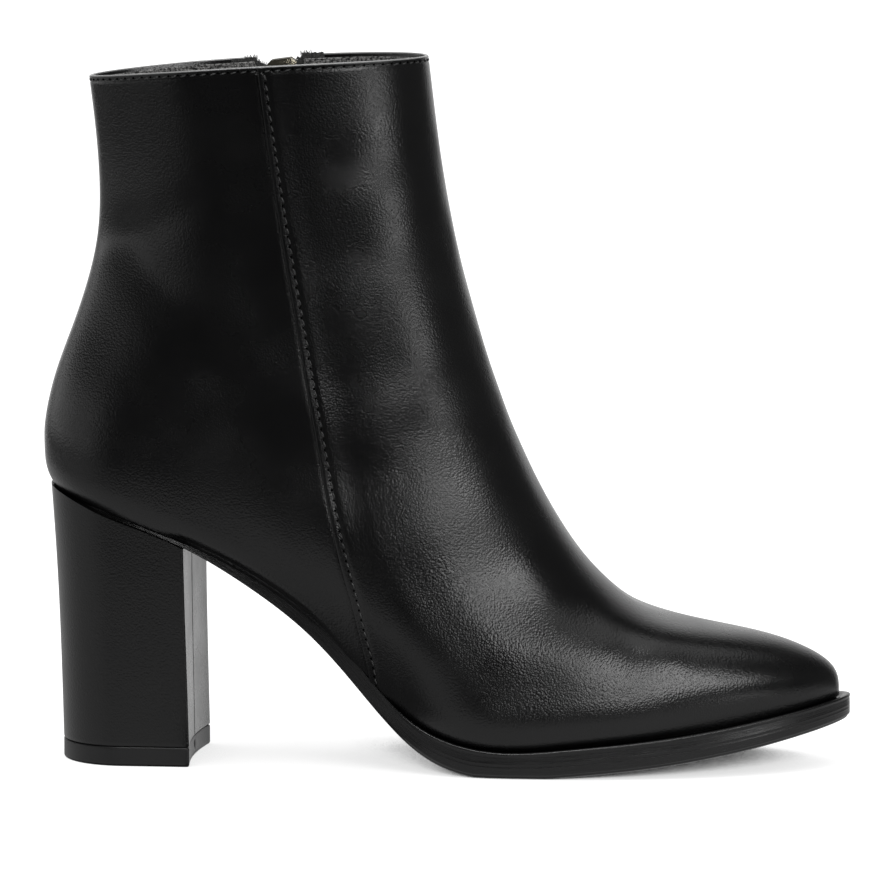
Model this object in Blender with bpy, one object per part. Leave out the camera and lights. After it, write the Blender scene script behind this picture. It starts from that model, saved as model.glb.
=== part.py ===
"""Block heel ankle boot for the right foot, built as separate closed solids.

The toe points along +X, the outer side of the foot is -Y and up is +Z. The tables are in
millimetres. In them x is measured from the back of the heel counter, y from the heel's
centre line and z from the floor. An empty at the end puts the whole boot over the origin.
"""

import math

import bmesh
import bpy
import numpy as np
from mathutils import Matrix, Vector

MM = 0.001

# Wall and clearances
WALL = 1.8             # leather and lining together
GAP = 0.3              # air between neighbouring pieces
SOLE_LENGTH = 240.1    # back of the counter to the tip of the sole
SOLE_INNER = 41.5      # widest point of the sole on the inner side
SOLE_OUTER = 36.6      # widest point of the sole on the outer side

# Rings of the upper, one row each, from the edge on the sole up to the collar.
# back and ridge are the ends of the ring in the side view, ridge_y is the toe's lean inward.
# heel, waist and ball are half widths. back_len and front_len are how far the round ends reach.
RING_COLUMNS = ("back_x", "back_z", "ridge_x", "ridge_z", "ridge_y",
                "heel", "waist", "ball", "back_len", "front_len", "front_power")
RINGS = (
    (3.0, 82.0, 237.0, 20.8, 5.0, 25.2, 24.4, 36.0, 30.0, 98.0, 0.62),   # edge on the sole
    (1.0, 86.0, 236.3, 27.4, 5.0, 27.0, 26.2, 38.0, 30.0, 96.0, 0.60),   # toe wall
    (0.0, 92.5, 228.0, 34.4, 4.8, 28.2, 27.6, 38.2, 31.0, 90.0, 0.57),   # counter
    (0.3, 102.0, 203.0, 41.0, 4.2, 28.8, 29.0, 36.4, 33.0, 76.0, 0.53),  # toe box
    (3.0, 114.0, 176.6, 48.2, 3.4, 28.6, 29.5, 33.8, 34.0, 66.0, 0.50),  # vamp
    (8.4, 129.0, 153.8, 72.3, 2.4, 27.8, 29.0, 30.4, 36.0, 60.0, 0.50),  # instep
    (13.4, 144.0, 140.0, 100.2, 1.6, 26.8, 28.2, 28.8, 38.0, 56.0, 0.50),  # throat
    (16.5, 160.5, 129.2, 131.8, 1.0, 25.8, 27.4, 28.0, 40.0, 52.0, 0.50),  # ankle
    (16.5, 178.0, 121.5, 163.0, 0.4, 25.0, 26.8, 27.4, 42.0, 49.0, 0.50),  # shaft
    (13.8, 203.8, 114.8, 210.2, 0.0, 24.2, 26.4, 27.0, 44.0, 46.0, 0.50),  # collar
)
COLLAR_ARCH = 1.0      # rise of the collar's sides over the line from its back to its front
HEEL_AT = 0.10         # places along a ring, from its back to its ridge
WAIST_AT = 0.36
BALL_AT_OUTER = 0.61
BALL_AT_INNER = 0.68
ROUND_POWER = 2.5      # how softly the round ends run into the sides

# Side line of the bottom: where the upper ends and where the sole's underside runs.
# An underside below zero is cut off flat on the floor.
BOTTOM_COLUMNS = ("x", "edge_z", "under_z")
BOTTOM = (
    (-2.0, 83.6, 82.3),
    (25.0, 74.8, 73.4),
    (45.0, 66.8, 65.2),
    (65.0, 56.6, 53.0),
    (85.0, 41.7, 36.9),
    (100.0, 26.5, 20.5),
    (113.0, 15.4, 7.6),
    (127.0, 9.6, 0.9),
    (142.0, 7.8, -0.6),
    (160.0, 9.0, 0.5),
    (185.0, 11.6, 3.1),
    (212.0, 15.8, 7.6),
    (242.0, 21.5, 14.4),
)

# How far the sole stands out beyond the upper's edge, along the boot
LIP_COLUMNS = ("x", "out")
LIP = (
    (-2.0, -1.6),
    (40.0, -1.6),
    (65.0, 0.0),
    (100.0, 1.0),
    (130.0, 2.6),
    (160.0, 3.2),
    (242.0, 3.2),
)
# Loops of the sole's side, from the underside to the top: part of the height, inset.
# The inset loops in the middle are the fine groove that runs round the side.
SOLE_LOOPS = ((0.0, 3.0), (0.16, 0.5), (0.24, 0.0), (0.42, 0.0), (0.46, 0.35), (0.52, 0.35),
              (0.56, 0.0), (0.90, 0.0), (1.0, 0.7))

INSOLE_THICK = 2.2
INSOLE_CLEAR = 0.9

# Lapped seam on the outer side and zip on the inner side: place along the ring by ring level
SEAM_COLUMNS = ("level", "place")
SEAM = (
    (0.0, 0.418),
    (0.1, 0.435),
    (0.2, 0.458),
    (0.4, 0.488),
    (0.7, 0.507),
    (1.0, 0.534),
)
LAP = 0.9              # step of the front panel over the rear quarter
LAP_FADE = 9.0         # distance over which the step runs out forward
SEAM_STEP = 0.001      # width of the step, in ring coordinates

# Zip
ZIP_BOTTOM = 0.20      # ring level of the slot's lower end
SLOT_HALF = 4.4        # half of the slot's width along the chain
SLOT_FLARE = 3.2       # extra half width at the collar
FLARE_FROM = 0.86      # ring level where the slot starts to widen
TAPE_INNER = 1.5       # tape from this far off the middle ...
TAPE_OUTER = 11.0      # ... to this far
TAPE_THICK = 0.7
CHAIN_HALF = 2.9
CHAIN_LOW = 1.75       # depth of the chain's back under the leather's surface
CHAIN_TOP = 0.2
SLIDER_LENGTH = 10.6
SLIDER_DOWN = 6.2      # slider's middle below the collar
SLIDER_TOP_HALF = 4.5
SLIDER_LOW_HALF = 3.5
PLATE_LOW = 0.4        # front plate over the leather's surface
PLATE_TOP = 1.4
FLANGE = 0.8
FLANGE_LOW = -1.7
BACK_PLATE_TOP = -3.2
BACK_PLATE_LOW = -4.1
POST_HALF = 1.1
BAIL_HALF = 0.8        # arch that holds the pull tab
BAIL_REACH = 3.4
BAIL_HIGH = 4.1
BAIL_THICK = 0.9
PULL_AXIS = 2.3        # height of the pull's bar over the leather's surface
PULL_BAR = 0.55        # half width of the bar, small enough to turn under the arch
PULL_ARM_IN = 1.25
PULL_ARM_OUT = 2.6
PULL_WINDOW = 4.4
PULL_LENGTH = 27.0
PULL_END_HALF = 3.3
PULL_THICK = 1.0
STOP_LENGTH = 3.2
STOP_HALF = 3.2
STOP_UP = 3.4          # stop's middle above the slot's lower end
STOP_TOP = 0.3
TAPE_TOP = 0.995       # ring level of the tapes' upper ends

# Heel block and top lift, rows from the floor to the seat
HEEL_COLUMNS = ("part", "back_x", "breast_x", "half", "round_len", "hollow")
HEEL = (
    (0.0, 5.3, 46.1, 23.4, 20.0, 1.6),
    (0.35, 4.6, 45.6, 23.9, 20.0, 1.4),
    (0.70, 3.5, 45.1, 24.8, 20.5, 1.2),
    (1.0, 2.0, 44.8, 25.8, 21.0, 1.0),
)
HEEL_TOP_ROUND = 0.8
LIFT_THICK = 5.8
LIFT_BEVEL = 0.5

# How finely the curves are cut into flats
RING_LEVELS = (0.0, 0.012, 0.03, 0.055, 0.08, 0.11, 0.15, ZIP_BOTTOM, 0.25, 0.30, 0.355, 0.41,
               0.47, 0.53, 0.60, 0.67, 0.74, 0.81, FLARE_FROM, 0.92, 0.965, 1.0)
QUARTER_STEPS = 12
FRONT_STEPS = 14
ZIP_STEPS = 14
SOLE_STEPS = 42
HEEL_STEPS = 9
BREAST_STEPS = 6

OUTER, INNER = -1.0, 1.0

MATERIALS = {
    "upper_leather": ((0.012, 0.012, 0.013), 0.42, 0.0),
    "sole_rubber": ((0.02, 0.02, 0.021), 0.6, 0.0),
    "insole_leather": ((0.03, 0.028, 0.026), 0.7, 0.0),
    "heel_leather": ((0.014, 0.014, 0.015), 0.45, 0.0),
    "lift_rubber": ((0.02, 0.02, 0.02), 0.6, 0.0),
    "zip_fabric": ((0.015, 0.015, 0.015), 0.9, 0.0),
    "zip_metal": ((0.62, 0.57, 0.47), 0.3, 1.0),
}


def spline(knots, values):
    """A smooth cubic curve through the values, returned as a function."""
    knots = np.asarray(knots, float)
    values = np.asarray(values, float)
    count = len(knots)
    step = np.diff(knots)
    rise = np.diff(values) / step
    system = np.eye(count)
    right = np.zeros(count)
    for i in range(1, count - 1):
        system[i, i - 1:i + 2] = step[i - 1], 2.0 * (step[i - 1] + step[i]), step[i]
        right[i] = 6.0 * (rise[i] - rise[i - 1])
    bend = np.linalg.solve(system, right)

    def at(place):
        place = np.clip(place, knots[0], knots[-1])
        i = np.clip(np.searchsorted(knots, place) - 1, 0, count - 2)
        after = knots[i + 1] - place
        before = place - knots[i]
        cubic = (bend[i] * after ** 3 + bend[i + 1] * before ** 3) / (6.0 * step[i])
        low = (values[i] / step[i] - bend[i] * step[i] / 6.0) * after
        high = (values[i + 1] / step[i] - bend[i + 1] * step[i] / 6.0) * before
        return cubic + low + high

    return at


def table(columns, rows, knots=None):
    """One smooth curve per column, over the first column or over the given knots."""
    if knots is None:
        knots = [row[0] for row in rows]
    return {name: spline(knots, [row[i] for row in rows]) for i, name in enumerate(columns)}


def ring_levels():
    """Level of each ring row: its distance along the ridge line, from 0 to 1."""
    ridge = np.array([row[2:4] for row in RINGS])
    steps = np.hypot(*np.diff(ridge, axis=0).T)
    reach = np.concatenate(([0.0], np.cumsum(steps)))
    return reach / reach[-1]


RING = table(RING_COLUMNS, RINGS, ring_levels())
BOTTOM_LINE = table(BOTTOM_COLUMNS, BOTTOM)
LIP_LINE = table(LIP_COLUMNS, LIP)
SEAM_LINE = table(SEAM_COLUMNS, SEAM)
HEEL_LINE = table(HEEL_COLUMNS, HEEL)


def ease(part):
    """Smooth step from 0 to 1."""
    part = np.clip(part, 0.0, 1.0)
    return part ** 3 * (part * (6.0 * part - 15.0) + 10.0)


def rounding(part, power):
    """Half width of a round end: 0 at its tip, 1 where the straight side starts."""
    part = np.clip(part, 0.0, 1.0)
    return (1.0 - (1.0 - part) ** ROUND_POWER) ** power


def side_view(u, v):
    """Place in the side view, u from back to ridge and v from the sole's edge to the collar."""
    foot_x = RING["back_x"](0.0) + (RING["ridge_x"](0.0) - RING["back_x"](0.0)) * u
    foot_z = BOTTOM_LINE["edge_z"](foot_x)
    top_x = RING["back_x"](1.0) + (RING["ridge_x"](1.0) - RING["back_x"](1.0)) * u
    top_z = RING["back_z"](1.0) + (RING["ridge_z"](1.0) - RING["back_z"](1.0)) * u
    top_z = top_z + 4.0 * COLLAR_ARCH * u * (1.0 - u)
    found = []
    for axis, foot, top in (("x", foot_x, top_x), ("z", foot_z, top_z)):
        back = RING["back_" + axis]
        ridge = RING["ridge_" + axis]
        back_extra = back(v) - (1.0 - v) * back(0.0) - v * back(1.0)
        ridge_extra = ridge(v) - (1.0 - v) * ridge(0.0) - v * ridge(1.0)
        flat = (1.0 - v) * foot + v * top
        found.append(flat + (1.0 - u) ** 2 * back_extra + u ** 2 * ridge_extra)
    return found


def half_width(side, u, v):
    """Half width of a ring at u, measured from the foot's curved middle line."""
    ball_at = np.where(side < 0.0, BALL_AT_OUTER, BALL_AT_INNER)
    to_waist = ease((u - HEEL_AT) / (WAIST_AT - HEEL_AT))
    to_ball = ease((u - WAIST_AT) / (ball_at - WAIST_AT))
    heel, waist, ball = RING["heel"](v), RING["waist"](v), RING["ball"](v)
    wide = heel + (waist - heel) * to_waist + (ball - waist) * to_ball
    length = RING["ridge_x"](v) - RING["back_x"](v)
    back = rounding(u * length / RING["back_len"](v), 0.5)
    front = rounding((1.0 - u) * length / RING["front_len"](v), RING["front_power"](v))
    return wide * back * front


def crowd(part):
    """Spread from 0 to 1 that starts in small steps, for the round ends."""
    return part * part * (2.0 - part)


def ring_place(w, v):
    """Side and u for w: 0 back, 0.5 outer seam, 1 ridge, 1.5 zip, 2 back again."""
    w = np.mod(w, 2.0)
    side = np.where(w <= 1.0, OUTER, INNER)
    near = np.where(w <= 1.0, w, 2.0 - w)
    seam = SEAM_LINE["place"](v)
    rear = seam * crowd(2.0 * near)
    front = 1.0 - (1.0 - seam) * crowd(2.0 - 2.0 * near)
    return side, np.where(near <= 0.5, rear, front)


def skin(w, v):
    """Point on the upper's outer surface."""
    side, u = ring_place(w, v)
    x, z = side_view(u, v)
    middle = RING["ridge_y"](v) * u ** 1.5
    return np.stack([x, middle + side * half_width(side, u, v), z], axis=-1)


def skin_frame(w, v):
    """Point on the upper, the directions across, up and out there, and the spread of w across.

    Up runs along a line of constant w, such as the zip, and across is square to it.
    """
    dw, dv = 0.004, 0.002
    w, v = np.broadcast_arrays(np.asarray(w, float), np.asarray(v, float))
    low, high = np.maximum(v - dv, 0.0), np.minimum(v + dv, 1.0)
    around = (skin(w + dw, v) - skin(w - dw, v)) / (2.0 * dw)
    up = skin(w, high) - skin(w, low)
    up = up / np.linalg.norm(up, axis=-1, keepdims=True)
    out = np.cross(around, up)
    spread = np.linalg.norm(out, axis=-1)
    out = out / spread[..., None]
    return skin(w, v), np.cross(up, out), up, out, spread


def edge_out(w):
    """Flat direction out of the upper's lower edge, square to its outline seen from above."""
    dw = 0.004
    step = skin(w + dw, np.zeros_like(w)) - skin(w - dw, np.zeros_like(w))
    out = np.stack([step[..., 1], -step[..., 0], np.zeros_like(w)], axis=-1)
    return out / np.linalg.norm(out, axis=-1, keepdims=True)


def slot_half(v):
    """Half of the zip slot's width at a level."""
    return SLOT_HALF + SLOT_FLARE * ease((v - FLARE_FROM) / (1.0 - FLARE_FROM))


def zip_tilt(v):
    """Change of level per ring step that runs square to the zip."""
    dw, dv = 0.004, 0.002
    around = (skin(1.5 + dw, v) - skin(1.5 - dw, v)) / (2.0 * dw)
    up = (skin(1.5, v) - skin(1.5, v - dv)) / dv
    return -float(around @ up) / float(up @ up)


def zip_frame(v, across):
    """Surface frame at a distance square across from the zip's middle, positive to the heel."""
    step = across / skin_frame(1.5, v)[4]
    return skin_frame(1.5 + step, np.minimum(v + zip_tilt(v) * step, 1.0))


def ring_columns(v):
    """Ring coordinates of one row of points: the seam's step and the slot have their own."""
    rear = np.linspace(0.0, 0.5, QUARTER_STEPS + 1)
    front = np.linspace(0.5, 1.0, FRONT_STEPS + 1)[1:]
    slot = float(slot_half(v) / skin_frame(1.5, v)[4])
    inner_front = 1.0 + (0.5 - slot) * np.linspace(0.0, 1.0, FRONT_STEPS)[1:]
    inner_rear = 1.5 + slot + (0.5 - slot) * np.linspace(0.0, 1.0, QUARTER_STEPS)[:-1]
    return np.concatenate((rear, [0.5 + SEAM_STEP], front, inner_front, inner_rear))


def lap_height(w, v):
    """How far the front panel's edge stands out over the rear quarter."""
    spread = skin_frame(0.5, v)[4]
    forward = (w - 0.5) * spread
    on = (w > 0.5) & (w <= 1.0)
    return np.where(on, LAP * (1.0 - ease(forward / LAP_FADE)), 0.0)


def clear_scene():
    for item in list(bpy.data.objects):
        bpy.data.objects.remove(item, do_unlink=True)


def material(name):
    colour, rough, metal = MATERIALS[name]
    made = bpy.data.materials.new(name)
    made.use_nodes = True
    shader = made.node_tree.nodes["Principled BSDF"]
    shader.inputs["Base Color"].default_value = (*colour, 1.0)
    shader.inputs["Roughness"].default_value = rough
    shader.inputs["Metallic"].default_value = metal
    return made


def add_object(name, points, faces, slot, parent, matrix=None):
    """A named closed solid from points in millimetres, in its own place if a matrix is given."""
    body = bmesh.new()
    corners = [body.verts.new(Vector(p) * MM) for p in points]
    for face in faces:
        body.faces.new([corners[i] for i in face])
    bmesh.ops.recalc_face_normals(body, faces=body.faces[:])
    mesh = bpy.data.meshes.new(name)
    body.to_mesh(mesh)
    body.free()
    mesh.materials.append(slot)
    made = bpy.data.objects.new(name, mesh)
    bpy.context.collection.objects.link(made)
    made.parent = parent
    if matrix is not None:
        made.matrix_local = matrix
    return made


def stack_faces(loops, count, first=0):
    """Side faces of a stack of closed loops with the same number of points."""
    faces = []
    for row in range(loops - 1):
        for i in range(count):
            low = first + row * count
            after = (i + 1) % count
            faces.append((low + i, low + after, low + count + after, low + count + i))
    return faces


def make_upper(slot, parent):
    """The hollow upper: outer skin, inner skin and the rims that join them."""
    rows = len(RING_LEVELS)
    slot_at = QUARTER_STEPS + 2 * FRONT_STEPS
    slot_row = RING_LEVELS.index(ZIP_BOTTOM)
    outer, inner = [], []
    for row, level in enumerate(RING_LEVELS):
        w = ring_columns(level)
        v = np.full(len(w), level)
        if row == slot_row:
            ends = slice(slot_at, slot_at + 2)
            v[ends] += zip_tilt(level) * (w[ends] - 1.5)
        point, _, _, out, _ = skin_frame(w, v)
        if row == 0:
            out = edge_out(w)
        pair = (point + out * lap_height(w, v)[:, None], point - out * WALL)
        if row == 0:
            for loop in pair:
                loop[:, 2] = BOTTOM_LINE["edge_z"](loop[:, 0])
        outer.append(pair[0])
        inner.append(pair[1])
    count = len(outer[0])
    points = np.concatenate(outer + inner)
    inside_from = rows * count
    faces = []
    uses = {}
    for row in range(rows - 1):
        for i in range(count):
            if row >= slot_row and i == slot_at:
                continue
            after = (i + 1) % count
            face = (row * count + i, row * count + after,
                    (row + 1) * count + after, (row + 1) * count + i)
            faces.append(face)
            faces.append(tuple(inside_from + k for k in reversed(face)))
            for a, b in zip(face, face[1:] + face[:1]):
                uses[(a, b)] = uses.get((a, b), 0) + 1
    for a, b in uses:
        if (b, a) not in uses:
            faces.append((b, a, inside_from + a, inside_from + b))
    return add_object("upper", points, faces, slot, parent)


def foot_outline(count):
    """Stations along the upper's lower edge: points and flat outward directions, both sides."""
    near = np.linspace(0.0, 1.0, count + 1)
    return [(skin(w, np.zeros_like(w)), edge_out(w)) for w in (near, 2.0 - near)]


def outline_loop(sides, inset):
    """Closed loop round the foot: outer side from heel to toe, then the inner side back."""
    (outer, outer_out), (inner, inner_out) = sides
    reach_outer = np.asarray(LIP_LINE["out"](outer[:, 0]) - inset)[:, None]
    reach_inner = np.asarray(LIP_LINE["out"](inner[:, 0]) - inset)[:, None]
    first = outer + outer_out * reach_outer
    second = inner + inner_out * reach_inner
    return np.concatenate((first, second[-2:0:-1]))


def cap_faces(start, count, up):
    """Faces across a loop made by outline_loop, joining each station of one side to the other."""
    half = count // 2
    faces = []
    for i in range(half):
        a, b = start + i, start + i + 1
        c = start + (count - i - 1) % count
        d = start + (count - i) % count
        face = [a, b, c, d]
        unique = [k for n, k in enumerate(face) if k not in face[:n]]
        faces.append(tuple(unique) if up else tuple(reversed(unique)))
    return faces


def make_outsole(slot, parent):
    """Sole from the heel seat to the toe: flat at the ball, thin under the waist and the heel."""
    sides = foot_outline(SOLE_STEPS)
    loops = []
    for part, inset in SOLE_LOOPS:
        loop = outline_loop(sides, inset)
        under = np.maximum(BOTTOM_LINE["under_z"](loop[:, 0]), 0.0)
        top = BOTTOM_LINE["edge_z"](loop[:, 0]) - GAP
        loop[:, 2] = under + (top - under) * part
        loops.append(loop)
    count = len(loops[0])
    faces = stack_faces(len(loops), count)
    faces += cap_faces(0, count, False)
    faces += cap_faces((len(loops) - 1) * count, count, True)
    return add_object("outsole", np.concatenate(loops), faces, slot, parent)


def make_insole(slot, parent):
    """Insole that lies on the sole, just inside the upper's lower edge."""
    sides = foot_outline(SOLE_STEPS)
    loops = []
    for lift in (0.0, INSOLE_THICK):
        moved = []
        for point, out in sides:
            moved.append((point - out * (WALL + INSOLE_CLEAR), out))
        loop = np.concatenate((moved[0][0], moved[1][0][-2:0:-1]))
        loop[:, 2] = BOTTOM_LINE["edge_z"](loop[:, 0]) + lift
        loops.append(loop)
    count = len(loops[0])
    faces = stack_faces(2, count)
    faces += cap_faces(0, count, False)
    faces += cap_faces(count, count, True)
    return add_object("insole", np.concatenate(loops), faces, slot, parent)


def heel_loop(part, inset):
    """D shaped section of the heel: round at the back, hollow breast at the front."""
    row = {name: float(curve(part)) for name, curve in HEEL_LINE.items()}
    back = row["back_x"] + inset
    breast = row["breast_x"] - inset
    half = row["half"] - inset
    turn = np.linspace(0.0, math.pi / 2.0, HEEL_STEPS + 1)
    reach = row["round_len"] * (1.0 - np.cos(turn))
    x = np.concatenate((back + reach, np.linspace(back + row["round_len"], breast, 4)[1:]))
    y = half * np.sqrt(np.clip(1.0 - (1.0 - np.clip((x - back) / row["round_len"], 0.0, 1.0)) ** 2,
                               0.0, 1.0))
    across = np.linspace(-1.0, 1.0, BREAST_STEPS + 1)[1:-1]
    middle_x = breast - row["hollow"] * (1.0 - across ** 2)
    outer = np.stack([x, -y], axis=1)
    front = np.stack([middle_x, across * half], axis=1)
    inner = np.stack([x, y], axis=1)[:0:-1]
    return np.concatenate((outer, front, inner)), len(outer)


def heel_cap(start, stations, count, up):
    """Faces across a heel section: strips from back to breast, then one face at the breast."""
    faces = []
    for i in range(stations - 2):
        a, b = start + i, start + i + 1
        c = start + (count - i - 1) % count
        d = start + (count - i) % count
        face = [a, b, c, d]
        faces.append([k for n, k in enumerate(face) if k not in face[:n]])
    last = list(range(start + stations - 2, start + count - stations + 3))
    faces.append(last)
    return [tuple(f) if up else tuple(reversed(f)) for f in faces]


def make_heel(slot, parent):
    """Covered heel block: its top lies just under the sole's seat."""
    low = LIFT_THICK + GAP
    loops = []
    for part, inset in ((0.0, 0.0), (0.2, 0.0), (0.4, 0.0), (0.6, 0.0), (0.8, 0.0),
                        (0.95, 0.0), (1.0, HEEL_TOP_ROUND)):
        flat, stations = heel_loop(part, inset)
        seat = BOTTOM_LINE["under_z"](flat[:, 0]) - GAP
        z = low + (seat - low) * part
        loops.append(np.column_stack((flat, z)))
    count = len(loops[0])
    faces = stack_faces(len(loops), count)
    faces += heel_cap(0, stations, count, False)
    faces += heel_cap((len(loops) - 1) * count, stations, count, True)
    return add_object("heel", np.concatenate(loops), faces, slot, parent)


def make_top_lift(slot, parent):
    """Wearing piece under the heel, flat on the floor."""
    loops = []
    for z, inset in ((0.0, LIFT_BEVEL), (LIFT_BEVEL, 0.0), (LIFT_THICK, 0.0)):
        flat, stations = heel_loop(0.0, inset)
        loops.append(np.column_stack((flat, np.full(len(flat), z))))
    count = len(loops[0])
    faces = stack_faces(len(loops), count)
    faces += heel_cap(0, stations, count, False)
    faces += heel_cap((len(loops) - 1) * count, stations, count, True)
    return add_object("top_lift", np.concatenate(loops), faces, slot, parent)


def zip_strip(name, levels, section, slot, parent):
    """A strip that follows the zip: the section lists across and depth round its outline."""
    loops = []
    for v in levels:
        across = np.array([a for a, _ in section])
        depth = np.array([d for _, d in section])
        point, _, _, out, _ = zip_frame(v, across)
        loops.append(point - out * depth[:, None])
    count = len(section)
    last = (len(loops) - 1) * count
    faces = stack_faces(len(loops), count)
    faces.append(tuple(reversed(range(count))))
    faces.append(tuple(range(last, last + count)))
    return add_object(name, np.concatenate(loops), faces, slot, parent)


def tape_section(sign):
    """Flat tape behind the leather on one side of the zip."""
    top = WALL + GAP
    low = top + TAPE_THICK
    across = np.linspace(TAPE_INNER, TAPE_OUTER, 4) * sign
    return [(a, top) for a in across] + [(a, low) for a in across[::-1]]


def level_below_collar(distance):
    """Ring level that lies a distance below the collar along the zip."""
    levels = np.linspace(0.5, 1.0, 400)
    line = skin(1.5, levels)
    steps = np.linalg.norm(np.diff(line, axis=0), axis=1)
    left = np.concatenate((np.cumsum(steps[::-1])[::-1], [0.0]))
    return float(np.interp(-distance, -left, levels))


def level_above(level, distance):
    """Ring level that lies a distance above a level along the zip."""
    levels = np.linspace(level, 1.0, 400)
    line = skin(1.5, levels)
    reach = np.concatenate(([0.0], np.cumsum(np.linalg.norm(np.diff(line, axis=0), axis=1))))
    return float(np.interp(distance, reach, levels))


def zip_matrix(level, height):
    """Place on the zip, with x toward the toe, y down the zip and z out of the leather."""
    point, across, up, out, _ = [np.asarray(k) for k in skin_frame(1.5, level)]
    axes = Matrix((-across, -up, out)).transposed().to_4x4()
    return Matrix.Translation(Vector(point + out * height) * MM) @ axes


def prism(outline, low, high):
    """Points and faces of a flat piece between two heights."""
    count = len(outline)
    points = [(a, b, low) for a, b in outline] + [(a, b, high) for a, b in outline]
    faces = stack_faces(2, count)
    faces.append(tuple(reversed(range(count))))
    faces.append(tuple(range(count, 2 * count)))
    return points, faces


def join_exact(base, others):
    """Unite solids that overlap into the first one, and drop the rest."""
    for other in others:
        union = base.modifiers.new("join", "BOOLEAN")
        union.operation = "UNION"
        union.solver = "EXACT"
        union.object = other
        bpy.context.view_layer.update()
        graph = bpy.context.evaluated_depsgraph_get()
        united = bpy.data.meshes.new_from_object(base.evaluated_get(graph))
        base.modifiers.remove(union)
        base.data = united
        bpy.data.objects.remove(other, do_unlink=True)
    return base


def rounded_rectangle(x_half, y_low, y_high, corner, steps=3):
    """Outline with round corners, counterclockwise."""
    outline = []
    centres = ((x_half - corner, y_high - corner, 0.0), (corner - x_half, y_high - corner, 90.0),
               (corner - x_half, y_low + corner, 180.0), (x_half - corner, y_low + corner, 270.0))
    for cx, cy, start in centres:
        for i in range(steps + 1):
            angle = math.radians(start + 90.0 * i / steps)
            outline.append((cx + corner * math.cos(angle), cy + corner * math.sin(angle)))
    return outline


def slider_outline():
    """Shield outline of the slider's plates, wide at the top of the zip."""
    half = SLIDER_LENGTH / 2.0
    wide, low = SLIDER_TOP_HALF, SLIDER_LOW_HALF
    return [(wide - 1.6, -half), (wide, 1.4 - half), (wide, -0.8), (low, half - 0.8),
            (low - 0.8, half), (0.8 - low, half), (-low, half - 0.8), (-wide, -0.8),
            (-wide, 1.4 - half), (1.6 - wide, -half)]


def make_slider(slot, parent):
    """Slider body: two plates, a post between them, side flanges and the arch for the pull."""
    level = level_below_collar(SLIDER_DOWN)
    place = zip_matrix(level, 0.0)
    half = SLIDER_LENGTH / 2.0
    outline = slider_outline()
    base = add_object("zip_slider", *prism(outline, PLATE_LOW, PLATE_TOP), slot, parent, place)
    more = [prism(outline, BACK_PLATE_LOW, BACK_PLATE_TOP)]
    post = rounded_rectangle(POST_HALF, 0.6 - half, 4.2 - half, 0.6)
    more.append(prism(post, BACK_PLATE_LOW + 0.3, PLATE_LOW + 0.3))
    for sign in (-1.0, 1.0):
        edge = [(SLIDER_TOP_HALF, 1.6 - half), (SLIDER_TOP_HALF, -0.8), (SLIDER_LOW_HALF, half - 0.9)]
        inner = [(a - FLANGE, b) for a, b in reversed(edge)]
        flange = [(sign * a, b) for a, b in edge + inner]
        more.append(prism(flange[::-1] if sign < 0.0 else flange, FLANGE_LOW, PLATE_LOW + 0.3))
    reach, high, thick = BAIL_REACH, BAIL_HIGH, BAIL_THICK
    arch = [(-reach, PLATE_TOP - 0.3), (-reach, high - 1.0), (1.0 - reach, high),
            (reach - 1.0, high), (reach, high - 1.0), (reach, PLATE_TOP - 0.3)]
    inside = [(b * (reach - thick) / reach, z if z < high - 1.1 else z - thick) for b, z in arch]
    band = arch + inside[::-1]
    count = len(band)
    points = [(-BAIL_HALF, b, z) for b, z in band] + [(BAIL_HALF, b, z) for b, z in band]
    faces = stack_faces(2, count)
    faces.append(tuple(reversed(range(count))))
    faces.append(tuple(range(count, 2 * count)))
    more.append((points, faces))
    parts = [add_object("slider_part", p, f, slot, parent, place) for p, f in more]
    return join_exact(base, parts)


def make_pull(slot, parent):
    """Pull tab: a bar under the slider's arch, two arms and a flat end that hangs down."""
    level = level_below_collar(SLIDER_DOWN)
    place = zip_matrix(level, PULL_AXIS)
    thick = PULL_THICK / 2.0
    outline = [(PULL_ARM_OUT, -PULL_BAR), (PULL_ARM_OUT, PULL_WINDOW),
               (PULL_END_HALF, PULL_LENGTH - 4.0)]
    for i in range(5):
        angle = math.radians(30.0 + 30.0 * i)
        outline.append((PULL_END_HALF * math.cos(angle), PULL_LENGTH - 3.3 + 3.3 * math.sin(angle)))
    outline += [(-PULL_END_HALF, PULL_LENGTH - 4.0), (-PULL_ARM_OUT, PULL_WINDOW),
                (-PULL_ARM_OUT, -PULL_BAR)]
    base = add_object("zip_pull", *prism(outline, -thick, thick), slot, parent, place)
    window = rounded_rectangle(PULL_ARM_IN, PULL_BAR, PULL_WINDOW, 0.4, 2)
    cutter = add_object("pull_window", *prism(window, -2.0, 2.0), slot, parent, place)
    cut = base.modifiers.new("window", "BOOLEAN")
    cut.operation = "DIFFERENCE"
    cut.solver = "EXACT"
    cut.object = cutter
    bpy.context.view_layer.update()
    graph = bpy.context.evaluated_depsgraph_get()
    windowed = bpy.data.meshes.new_from_object(base.evaluated_get(graph))
    base.modifiers.remove(cut)
    base.data = windowed
    bpy.data.objects.remove(cutter, do_unlink=True)
    return base


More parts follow.
